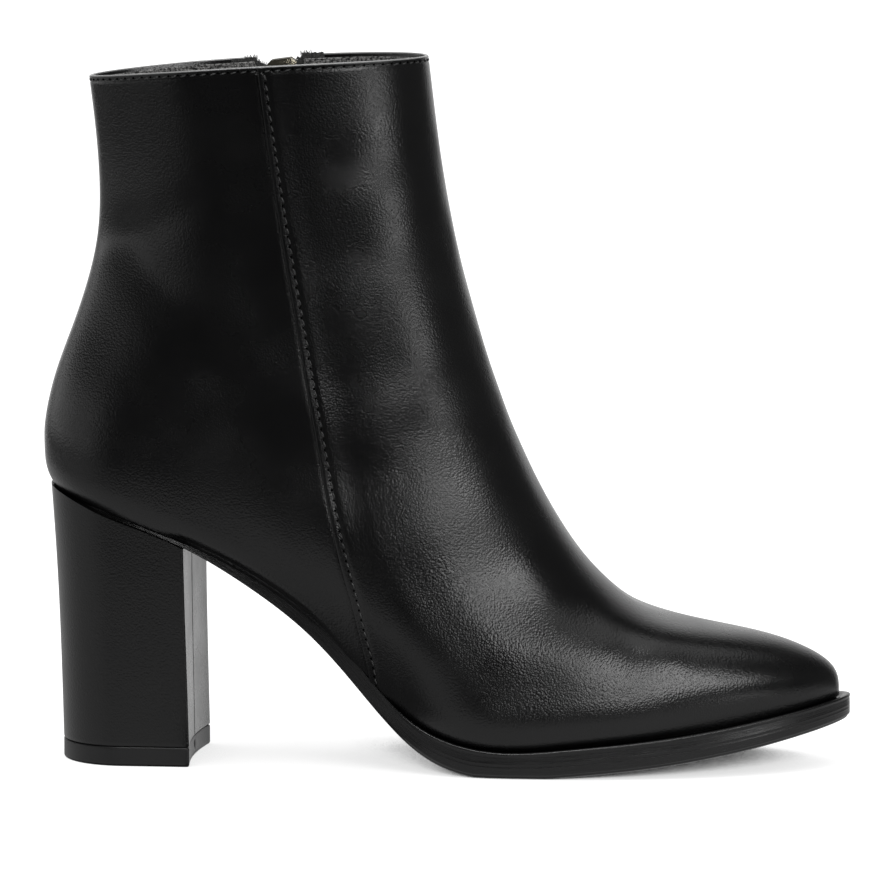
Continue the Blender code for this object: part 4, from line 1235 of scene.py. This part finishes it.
def make_painted_seam_shadow(level):
    """A thin black line in the corner under the folded edge: painted shadow where the fold shades the
    rear quarter.
    """
    w = SEAM_AT - SHADOW_LINE_AT / seam_spread(level)
    line, out = on_leather(w, level, rear_height, 0.0)
    across = skin_frame(w, level)[1]
    turn = np.linspace(0.0, 2.0 * math.pi, SHADOW_LINE_SIDES, endpoint=False)[None, :, None]
    loops = line[:, None] + SHADOW_LINE_WIDE * np.cos(turn) * across[:, None]
    loops = loops + SHADOW_LINE_HIGH * np.sin(turn) * out[:, None]
    first = np.arange(SHADOW_LINE_SIDES)
    caps = np.stack([first[::-1], (len(level) - 1) * SHADOW_LINE_SIDES + first])
    faces = [stack_faces(len(level), SHADOW_LINE_SIDES), caps]
    return add_piece("edge_dye", loops.reshape(-1, 3), faces, painted_shade_black)


settle(make_painted_seam_shadow(SEAM_LEVELS), "boot", "upper_leather")
sew("seam_stitches", SEAM_AT + SEWN_AT / seam_spread(SEAM_LEVELS), SEAM_LEVELS, front_height)

# %% Stitches of the collar and the zip
COLLAR_AHEAD, COLLAR_BEHIND = 2.6, 1.5   # from the seam to the first collar stitch on each side
COLLAR_OFF_ZIP = 0.06                    # ring places between the zip and the last one
ZIP_SEWN_FROM, ZIP_SEWN_BELOW = 0.975, 0.004   # uppermost level, and levels below the slot
top_spread = seam_spread(np.ones(1))[0]
for name, begin, end, height in (
        ("collar_stitches_front", SEAM_AT + COLLAR_AHEAD / top_spread,
         ZIP_AT - COLLAR_OFF_ZIP, front_height),
        ("collar_stitches_rear", ZIP_AT + COLLAR_OFF_ZIP,
         FULL_RING + SEAM_AT - COLLAR_BEHIND / top_spread, rear_height)):
    around = np.linspace(begin, end, 500)
    sew(name, around, 1.0 - COLLAR_SEWN_AT * COLLAR_BAND / collar_length(around), height)
zip_skew = SLOT_SKEW * (SLOT_HALF + ZIP_SEWN_AT) / SLOT_HALF
for name, sign, height in (("zip_stitches_front", -1.0, front_height),
                           ("zip_stitches_rear", 1.0, rear_height)):
    zip_level = np.linspace(ZIP_SEWN_FROM, ZIP_BOTTOM - ZIP_SEWN_BELOW - sign * zip_skew, 300)
    zip_off = (slot_half(np.maximum(zip_level, ZIP_BOTTOM)) + ZIP_SEWN_AT) / zip_spread(zip_level)
    sew(name, ZIP_AT + sign * zip_off, zip_level, height)

# %% [markdown]
# ## Zip
# The zip runs up the inner side: two woven tapes behind the leather, metal teeth that mesh along
# the middle, a bottom stop, and a slider with a pull tab near the collar. The tapes are strips that
# follow the zip's line and part above the slider, where their cut edges fray. A tooth is one small
# shape, so a node tree sets it along the line and turns every second one round to bite from the
# other side.

# %% Places along the zip
ZIP_STEPS = 500


def zip_tilt(v):
    """Change of level per ring step that runs square to the zip."""
    around = (skin(ZIP_AT + DW, v) - skin(ZIP_AT - DW, v)) / (2.0 * DW)
    up = (skin(ZIP_AT, v) - skin(ZIP_AT, v - DV)) / DV
    return -np.sum(around * up, axis=-1) / np.sum(up * up, axis=-1)


def zip_frame(v, across):
    """Surface frame at a distance square across from the zip's middle, positive to the heel."""
    step = across / zip_spread(v)
    return skin_frame(ZIP_AT + step, np.minimum(v + zip_tilt(v) * step, 1.0))


zip_levels = np.linspace(ZIP_BOTTOM, 1.0, ZIP_STEPS)
zip_distance = run_along(skin(np.full_like(zip_levels, ZIP_AT), zip_levels))
zip_length = float(zip_distance[-1])
print("zip length in mm:", round(zip_length, 1))


def level_up_zip(distance):
    """Level at a distance along the zip from its lower end."""
    return float(np.interp(distance, zip_distance, zip_levels))


# %% Tapes
TAPE_INNER, TAPE_OUTER, TAPE_TOP_DEPTH, TAPE_THICK = 1.5, 12.0, 1.3, 0.7
TAPE_OVER = 0.6        # the tape's cut end stands over the collar
TAPE_PARTS, TAPE_PARTED = 5.0, 6.4   # the tapes part this far below the collar, to this half gap
TAPE_JOINED, TAPE_OPENS = 1.4, 3.6   # up from the lower end: they meet, then make room for teeth
TAPE_MEET = 0.03       # half gap where they meet
TAPE_BELOW = 0.05      # levels that the tapes go on below the slot, behind the leather
TAPE_RAG = 0.45        # unevenness of the cut ends
BEAD_HIGH, BEAD_AT, BEAD_WIDE = 0.28, 0.7, 0.6   # thicker weave along the teeth
TAPE_COLUMNS, TAPE_ROWS, PARTED_ROWS = 30, 100, 22
FRAY_ROWS, FRAY_LEAN, FRAY_LEVEL = 22, 0.6, 0.99   # rows that fray, leaning to the zip's middle
zip_cloth = cloth("zip_cloth", (0.008, 0.008, 0.008), (0.075, 0.075, 0.073), 0.5, 0.20, 0.4, 0.16)
part_level = level_up_zip(zip_length - TAPE_PARTS)


def make_tape(name, sign, draw):
    """One tape: a strip whose inner edge leaves the middle above the slider, with ragged cut ends.

    With the piece come the line of its cut edges and the direction that threads fray in there.
    """
    levels = np.concatenate((np.linspace(ZIP_BOTTOM - TAPE_BELOW, part_level, TAPE_ROWS),
                             np.linspace(part_level, 1.0, PARTED_ROWS)[1:], [1.0, 1.0]))
    part = np.linspace(0.0, 1.0, TAPE_COLUMNS)
    parted = ease((levels - part_level) / (1.0 - part_level))
    up_zip = np.interp(levels, zip_levels, zip_distance)
    opened = ease((up_zip - TAPE_JOINED) / (TAPE_OPENS - TAPE_JOINED))
    inner = TAPE_MEET + (TAPE_INNER - TAPE_MEET) * opened
    inner = inner + parted * (TAPE_PARTED - TAPE_INNER - TAPE_RAG * draw.random(len(levels)))
    flat = inner[:, None] + (TAPE_OUTER - inner)[:, None] * part[None, :]
    bead = BEAD_HIGH * hump(flat - inner[:, None] - BEAD_AT, BEAD_WIDE)
    cut = TAPE_OVER - TAPE_RAG * draw.random(TAPE_COLUMNS)
    over = np.zeros_like(flat)
    over[-2:] = np.array([[0.5], [1.0]]) * cut[None, :]
    point, _, up, out, _ = zip_frame(np.broadcast_to(levels[:, None], flat.shape), flat * sign)
    raised = point + up * over[..., None]
    front = raised - out * (TAPE_TOP_DEPTH - bead)[..., None]
    back = raised - out * (TAPE_TOP_DEPTH + TAPE_THICK)
    loops = np.concatenate((front, back[:, ::-1]), axis=1)
    made = add_piece(name, loops.reshape(-1, 3), sheet_faces(len(levels), TAPE_COLUMNS), zip_cloth)
    across_top = slice(1, TAPE_COLUMNS // 2)
    inward = up[-FRAY_ROWS:, 0] - sign * FRAY_LEAN * skin_frame(ZIP_AT, FRAY_LEVEL)[1]
    edge = np.concatenate((front[-FRAY_ROWS:, 0], front[-1, across_top]))
    return made, edge, np.concatenate((inward, up[-1, across_top]))


draw = np.random.default_rng(11)
tape_front, front_edge, front_way = make_tape("tape_front", -1.0, draw)
tape_back, back_edge, back_way = make_tape("tape_back", 1.0, draw)
settle(tape_front, "boot", "zip_fabric", "zip_tape_front")
settle(tape_back, "boot", "zip_fabric", "zip_tape_back")

# %% Frayed threads at the tapes' cut edges
FRAY_STEP, FRAY_LENGTH, FRAY_THREAD, FRAY_SPREAD = 0.30, 0.9, 0.16, 0.7


def make_fray_tree():
    """A short thin thread at each step, leaning at random."""
    tree, given, result = new_tree("fray", Step="Float", Length="Float", Thread="Float",
                                   Spread="Float", Seed="Int", Finish="Material")
    points, turn = steps_on_path(tree, given["Path"], given["Step"])
    hair = node(tree, "GeometryNodeMeshCone", None, Vertices=5, Radius_Top=0.25, Radius_Bottom=0.5,
                Depth=1.0)
    size = vector(tree, given["Thread"], given["Thread"], given["Length"])
    wide = given["Spread"]
    narrow = calc(tree, "MULTIPLY", wide, -1.0)
    lean = node(tree, "FunctionNodeRandomValue", {"data_type": "FLOAT_VECTOR"},
                Min=vector(tree, narrow, narrow, narrow), Max=vector(tree, wide, wide, wide),
                Seed=given["Seed"])
    thread = shaped(tree, hair.outputs["Mesh"], size)
    frayed = set_on_points(tree, points, thread, turn, lean.outputs["Value"])
    tree.links.new(painted(tree, frayed, given["Finish"]), result["Made"])
    return tree


fray_tree = make_fray_tree()
for name, edge, way, seed in (("fray_front", front_edge, front_way, 3),
                              ("fray_back", back_edge, back_way, 5)):
    made = grow(name, path_object(edge, way), fray_tree, Step=FRAY_STEP * MM, Length=FRAY_LENGTH * MM,
                Thread=FRAY_THREAD * MM, Spread=FRAY_SPREAD, Seed=seed, Finish=zip_cloth)
    settle(made, "boot", "zip_fabric")

# %% Metal finish
METAL_SHINE = 0.5
RUB_MARKS, RUB_RELIEF = 5200.0, 0.000012   # marks per metre, and their depth in metres
TARNISH, TARNISH_DARK = 700.0, 0.72        # patches per metre, and their shade
RUB_LESS, RUB_MORE = 0.07, 0.09


def polished_metal(name, colour, rough):
    """Pale polished metal with fine rubbing marks and a little tarnish in its colour."""
    made, tree, shader, coords = start_material(name, rough, METAL_SHINE)
    shader.inputs["Metallic"].default_value = 1.0
    marks = noise(tree, coords, RUB_MARKS, 3.0)
    tarnish = noise(tree, coords, TARNISH, 3.0)
    dark = tuple(TARNISH_DARK * k for k in colour)
    dress(tree, shader, Normal=bump(tree, marks, RUB_RELIEF),
          Base_Color=mix_colour(tree, tarnish, dark, colour),
          Roughness=uneven(tree, marks, rough, RUB_LESS, RUB_MORE))
    return made


zip_metal = polished_metal("zip_metal", (0.74, 0.68, 0.53), 0.18)
print("metal:", zip_metal.name)

# %% One tooth
TOOTH_LONG, TOOTH_THICK, TOOTH_REACH, TOOTH_FOOT = 1.12, 1.5, 0.75, 2.9
TOOTH_BEVEL = 0.16
TOOTH_OUTLINE = ((-0.5, -1.0), (0.5, -1.0), (0.5, -0.18), (0.40, 0.0), (0.40, 0.78), (0.22, 1.0),
                 (-0.22, 1.0), (-0.40, 0.78), (-0.40, 0.0), (-0.5, -0.18))
LEVEL_EDGE = 1e-9      # an edge that rises less than this is level


def plain_mesh(name, body):
    """The mesh of a body that is done."""
    mesh = bpy.data.meshes.new(name)
    body.to_mesh(mesh)
    body.free()
    return mesh


def make_tooth():
    """One tooth in its own place: a block with a narrow head, all edges broken."""
    body = bmesh.new()
    low = [body.verts.new((a * TOOTH_LONG * MM,
                           (b * (TOOTH_FOOT if b < 0 else TOOTH_REACH)) * MM,
                           -TOOTH_THICK / 2.0 * MM)) for a, b in TOOTH_OUTLINE]
    floor = body.faces.new(low[::-1])
    raised = bmesh.ops.extrude_face_region(body, geom=[floor])
    tops = [k for k in raised["geom"] if isinstance(k, bmesh.types.BMVert)]
    bmesh.ops.translate(body, verts=tops, vec=(0.0, 0.0, TOOTH_THICK * MM))
    bmesh.ops.recalc_face_normals(body, faces=body.faces[:])
    level_edges = [e for e in body.edges if abs(e.verts[0].co.z - e.verts[1].co.z) < LEVEL_EDGE]
    bmesh.ops.bevel(body, geom=level_edges, offset=TOOTH_BEVEL * MM, segments=1, affect="EDGES")
    return add_object("tooth", plain_mesh("tooth", body))


# %% Teeth along the zip
TOOTH_PITCH = 2.5
CHAIN_DEPTH, CHAIN_STEPS = 0.98, 300
SLIDER_DOWN, SLIDER_LENGTH, SLIDER_CLEAR = 6.2, 10.6, 0.6   # from the collar, and air to the teeth
STOP_UP, STOP_LENGTH, STOP_CLEAR = 3.4, 3.2, 0.9            # from the lower end, and air to the teeth


def make_teeth_tree():
    """A tooth at each step, every second one turned half round."""
    tree, given, result = new_tree("teeth_row", Step="Float", Tooth="Object", Finish="Material")
    points, turn = steps_on_path(tree, given["Path"], given["Step"])
    source = node(tree, "GeometryNodeObjectInfo", None, Object=given["Tooth"])
    index = node(tree, "GeometryNodeInputIndex")
    every_second = calc(tree, "MODULO", index.outputs["Index"], 2.0)
    half_turn = vector(tree, 0.0, 0.0, calc(tree, "MULTIPLY", every_second, math.pi))
    row = set_on_points(tree, points, source.outputs["Geometry"], turn, half_turn)
    tree.links.new(painted(tree, row, given["Finish"]), result["Made"])
    return tree


chain_low = level_up_zip(STOP_UP + STOP_LENGTH / 2.0 + STOP_CLEAR)
chain_high = level_up_zip(zip_length - SLIDER_DOWN - SLIDER_LENGTH / 2.0 - SLIDER_CLEAR)
chain_levels = np.linspace(chain_low, chain_high, CHAIN_STEPS)
middle_point, _, _, middle_out, _ = skin_frame(np.full(CHAIN_STEPS, ZIP_AT), chain_levels)
tooth = make_tooth()
teeth = grow("zip_teeth", path_object(middle_point - middle_out * CHAIN_DEPTH, middle_out),
             make_teeth_tree(), Step=TOOTH_PITCH / 2.0 * MM, Tooth=tooth, Finish=zip_metal)
bpy.data.objects.remove(tooth, do_unlink=True)
settle(teeth, "boot", "zip_metal", "zip_chain")

# %% [markdown]
# ## Slider, pull tab and stop
# The frame already has the right solids for these cast pieces, but with knife edges. A copy of
# each, with its loose triangles merged and its edges rounded, catches the light as a casting does.
# Blender holds a bevel back where faces would run into each other, and the slider's faces are so
# narrow that almost nothing of its rounding is left: only the shading across its edges is soft.

# %% Cast pieces from the frame's solids
MERGE_WITHIN = 1e-6                     # metres
FLAT_WITHIN = math.radians(1.0)         # triangles of one face are joined again
ROUND_FROM = math.radians(25.0)         # edges past this turn are rounded
SHARP_FROM = math.radians(40.0)


def softened(name, source, width, material):
    """A copy of a node of the frame with its edges rounded, by a width in mm where there is room."""
    body = bmesh.new()
    body.from_mesh(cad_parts[source].data)
    bmesh.ops.remove_doubles(body, verts=body.verts[:], dist=MERGE_WITHIN)
    bmesh.ops.dissolve_limit(body, angle_limit=FLAT_WITHIN, verts=body.verts[:], edges=body.edges[:])
    edges = [e for e in body.edges if e.is_manifold and e.calc_face_angle(0.0) > ROUND_FROM]
    bmesh.ops.bevel(body, geom=edges, offset=width * MM, segments=3, profile=0.5, affect="EDGES",
                    clamp_overlap=True)
    bmesh.ops.triangulate(body, faces=[f for f in body.faces if len(f.verts) > 4])
    mesh = plain_mesh(name, body)
    mesh.materials.clear()
    mesh.materials.append(material)
    mesh.polygons.foreach_set("use_smooth", np.ones(len(mesh.polygons), bool))
    mesh.set_sharp_from_angle(angle=SHARP_FROM)
    print(f"{name}: {len(mesh.polygons)} faces")
    return add_object(name, mesh)


for name, node_name, width, body in (
        ("slider", "zip_slider", 0.22, "boot"), ("bottom_stop", "zip_bottom_stop", 0.3, "boot"),
        ("pull", "zip_pull", 0.2, "pull_tab")):
    settle(softened(name, node_name, width, zip_metal), body, "zip_metal", node_name)

# %% [markdown]
# ## Studio
# The photo has a white floor that runs on behind the boot. A slanted strip of light in front draws
# the long highlight down the vamp, with a low light at the right, a weak one at the left and two
# above. What lies behind the camera is dim, so the leather that faces us stays black, and white
# behind the boot shows as a thin bright rim. Lamps alone would light the floor unevenly, so it
# glows by itself, and is shaded where the boot shuts light out. The leather mirrors a card in the
# floor's place, cut so that its reflection ends where it does in the photo, and two black flags
# keep a light off what should stay dark.

# %% Floor
FLOOR_HALF, FLOOR_GREY = 30.0, 0.15
GLOW = 1.25
SHADE_REACH = 0.055    # how far off the floor a piece still shades it
SHADE_WAY = (0.15, -0.93, 0.34)   # light comes in low under the sole from the front
SHADE_SHUT, SHADE_OPEN = 0.45, 0.53   # open part in the tightest gap and where the light gets in
DIM_REACH, DIM_LEAST = 0.12, 0.50     # the wider, weaker shade of the whole boot
SHADE_SAMPLES, DIM_SAMPLES = 16, 4
WHITE, BLACK = (1.0, 1.0, 1.0), (0.0, 0.0, 0.0)


def add_stage(name, points, faces, finish):
    """A flat piece of the studio, which is not part of the boot."""
    mesh = bpy.data.meshes.new(name)
    mesh.from_pydata(points, [], faces)
    mesh.materials.append(finish)
    made = add_object(name, mesh)
    return made


def glowing(name, rough, colour):
    """A finish that also shines white by itself."""
    made, tree, shader, coords = start_material(name, rough, 0.0, colour)
    shader.inputs["Emission Color"].default_value = (*WHITE, 1.0)
    return made, tree, shader, coords


def white_floor():
    """Pale paint with a glow, and a painted shadow: the glow is shut out of tight gaps and dimmed round
    the boot.
    """
    made, tree, shader, _ = glowing("floor_paint", 0.9, (FLOOR_GREY, FLOOR_GREY, FLOOR_GREY))
    gap = node(tree, "ShaderNodeAmbientOcclusion", {"samples": SHADE_SAMPLES}, Distance=SHADE_REACH,
               Normal=vector(tree, *SHADE_WAY))
    lit = remap(tree, gap.outputs["AO"], SHADE_SHUT, SHADE_OPEN, 0.0, 1.0)
    wide = node(tree, "ShaderNodeAmbientOcclusion", {"samples": DIM_SAMPLES}, Distance=DIM_REACH)
    dim = remap(tree, wide.outputs["AO"], 0.0, 1.0, DIM_LEAST, 1.0)
    dress(tree, shader, Emission_Strength=calc(tree, "MULTIPLY", GLOW, calc(tree, "MULTIPLY", lit, dim)))
    return made


square = [(x * FLOOR_HALF, y * FLOOR_HALF, 0.0) for x, y in ((-1, -1), (1, -1), (1, 1), (-1, 1))]
floor = add_stage("floor", square, [(0, 1, 2, 3)], white_floor())
floor.visible_glossy = False
print("floor:", 2.0 * FLOOR_HALF, "m wide")

# %% What the leather mirrors of the floor
CARD = ((-0.60, -0.32), (-0.06, -0.30), (0.0, -0.16), (0.45, -0.20), (0.45, 0.10), (-0.01, 0.10),
        (-0.024, -0.05), (-0.046, -0.087), (-0.075, -0.087), (-0.075, 0.45), (-0.60, 0.45))
CARD_LIFT = 0.0006
CARD_GLOW, CARD_GLOW_TOE = 0.50, 0.60
CARD_WAIST_X, CARD_TOE_X = 0.0, 0.08   # its glow grows from the waist to the toe
UNSEEN_BY = ("camera", "diffuse", "transmission", "volume_scatter")


def hide_from(piece, rays):
    """Rays of these kinds pass through the piece."""
    for ray in rays:
        setattr(piece, "visible_" + ray, False)


card_paint, card_tree, card_shader, card_coords = glowing("card_paint", 1.0, BLACK)
along = node(card_tree, "ShaderNodeSeparateXYZ", None, Vector=card_coords).outputs["X"]
card_glow = remap(card_tree, along, CARD_WAIST_X, CARD_TOE_X, CARD_GLOW, CARD_GLOW_TOE)
dress(card_tree, card_shader, Emission_Strength=card_glow)
card_corners = [(x, y, CARD_LIFT) for x, y in CARD]
card = add_stage("floor_card", card_corners, [tuple(range(len(CARD)))], card_paint)
hide_from(card, (*UNSEEN_BY, "shadow"))
print("floor card:", len(CARD), "corners")

# %% Flags that keep the low right light off the toe and the front light off the shaft
FLAG_COLUMNS = ("name", "x", "y", "azimuth", "half", "low", "high")
FLAGS = (("toe_flag", 0.255, -0.135, 51.0, 0.11, 0.032, 0.078),
         ("shaft_flag", 0.05, -0.50, 6.0, 0.13, 0.245, 0.37))
flag_paint = start_material("flag_paint", 1.0, 0.0, BLACK)[0]
for row in FLAGS:
    spec = dict(zip(FLAG_COLUMNS, row))
    turn = math.radians(spec["azimuth"])
    run = (spec["half"] * math.cos(turn), spec["half"] * math.sin(turn))
    ends = [(spec["x"] + s * run[0], spec["y"] + s * run[1]) for s in (-1.0, 1.0)]
    corners = [(*ends[0], spec["low"]), (*ends[1], spec["low"])]
    corners += [(*ends[1], spec["high"]), (*ends[0], spec["high"])]
    hide_from(add_stage(spec["name"], corners, [(0, 1, 2, 3)], flag_paint), UNSEEN_BY)
print("flags:", [row[0] for row in FLAGS])

# %% Lights
LIGHT_AIM = Vector((0.0, 0.0, 0.09))
LIGHT_COLUMNS = ("name", "azimuth", "elevation", "roll", "distance", "wide", "high", "power")
LIGHTS = (
    ("right_box", 49.5, 2.5, 0.0, 3.4, 1.32, 0.48, 13.0),
    ("front_box", 29.5, 26.8, 31.0, 1.7, 1.62, 0.37, 16.0),
    ("left_box", -88.0, 7.0, 0.0, 1.7, 3.40, 0.42, 3.6),
    ("top_box", 90.0, 80.0, 0.0, 1.8, 1.60, 1.20, 6.6),
    ("rim_box", -12.0, 66.0, 0.0, 1.8, 0.60, 0.60, 13.0),
)


def soft_light(name, azimuth, elevation, roll, distance, wide, high, power):
    """An area light at a direction from the boot, turned to face it and rolled by an angle."""
    data = bpy.data.lights.new(name, "AREA")
    data.shape = "RECTANGLE"
    data.size, data.size_y = wide, high
    data.energy = power
    made = add_object(name, data)
    away = away_at(azimuth, elevation)
    made.location = LIGHT_AIM + away * distance
    made.rotation_mode = "QUATERNION"
    rolled = Matrix.Rotation(math.radians(roll), 3, "Z").to_quaternion()
    made.rotation_quaternion = facing(away) @ rolled
    made.visible_camera = False


for row in LIGHTS:
    soft_light(**dict(zip(LIGHT_COLUMNS, row)))

# %% Sky: dim behind the camera, faint at the sides, white behind the boot
SKY_BEHIND = (0.72, 0.96, 0.0, 1.0)     # from and to in its direction, and the strengths there
SKY_BESIDE = (0.3, 1.0, 0.022, 0.13)
sky = bpy.data.worlds.new("studio")
bpy.context.scene.world = sky
sky.use_nodes = True
sky_tree = sky.node_tree
looking = node(sky_tree, "ShaderNodeTexCoord").outputs["Generated"]
parts = node(sky_tree, "ShaderNodeSeparateXYZ", None, Vector=looking).outputs
behind = remap(sky_tree, parts["Y"], *SKY_BEHIND)
beside = remap(sky_tree, calc(sky_tree, "ABSOLUTE", parts["X"]), *SKY_BESIDE)
backdrop = sky_tree.nodes["Background"]
backdrop.inputs["Color"].default_value = (*WHITE, 1.0)
sky_tree.links.new(calc(sky_tree, "MAXIMUM", behind, beside), backdrop.inputs["Strength"])
bpy.context.scene.view_settings.view_transform = "Standard"
print("sky:", len(sky_tree.nodes), "nodes")
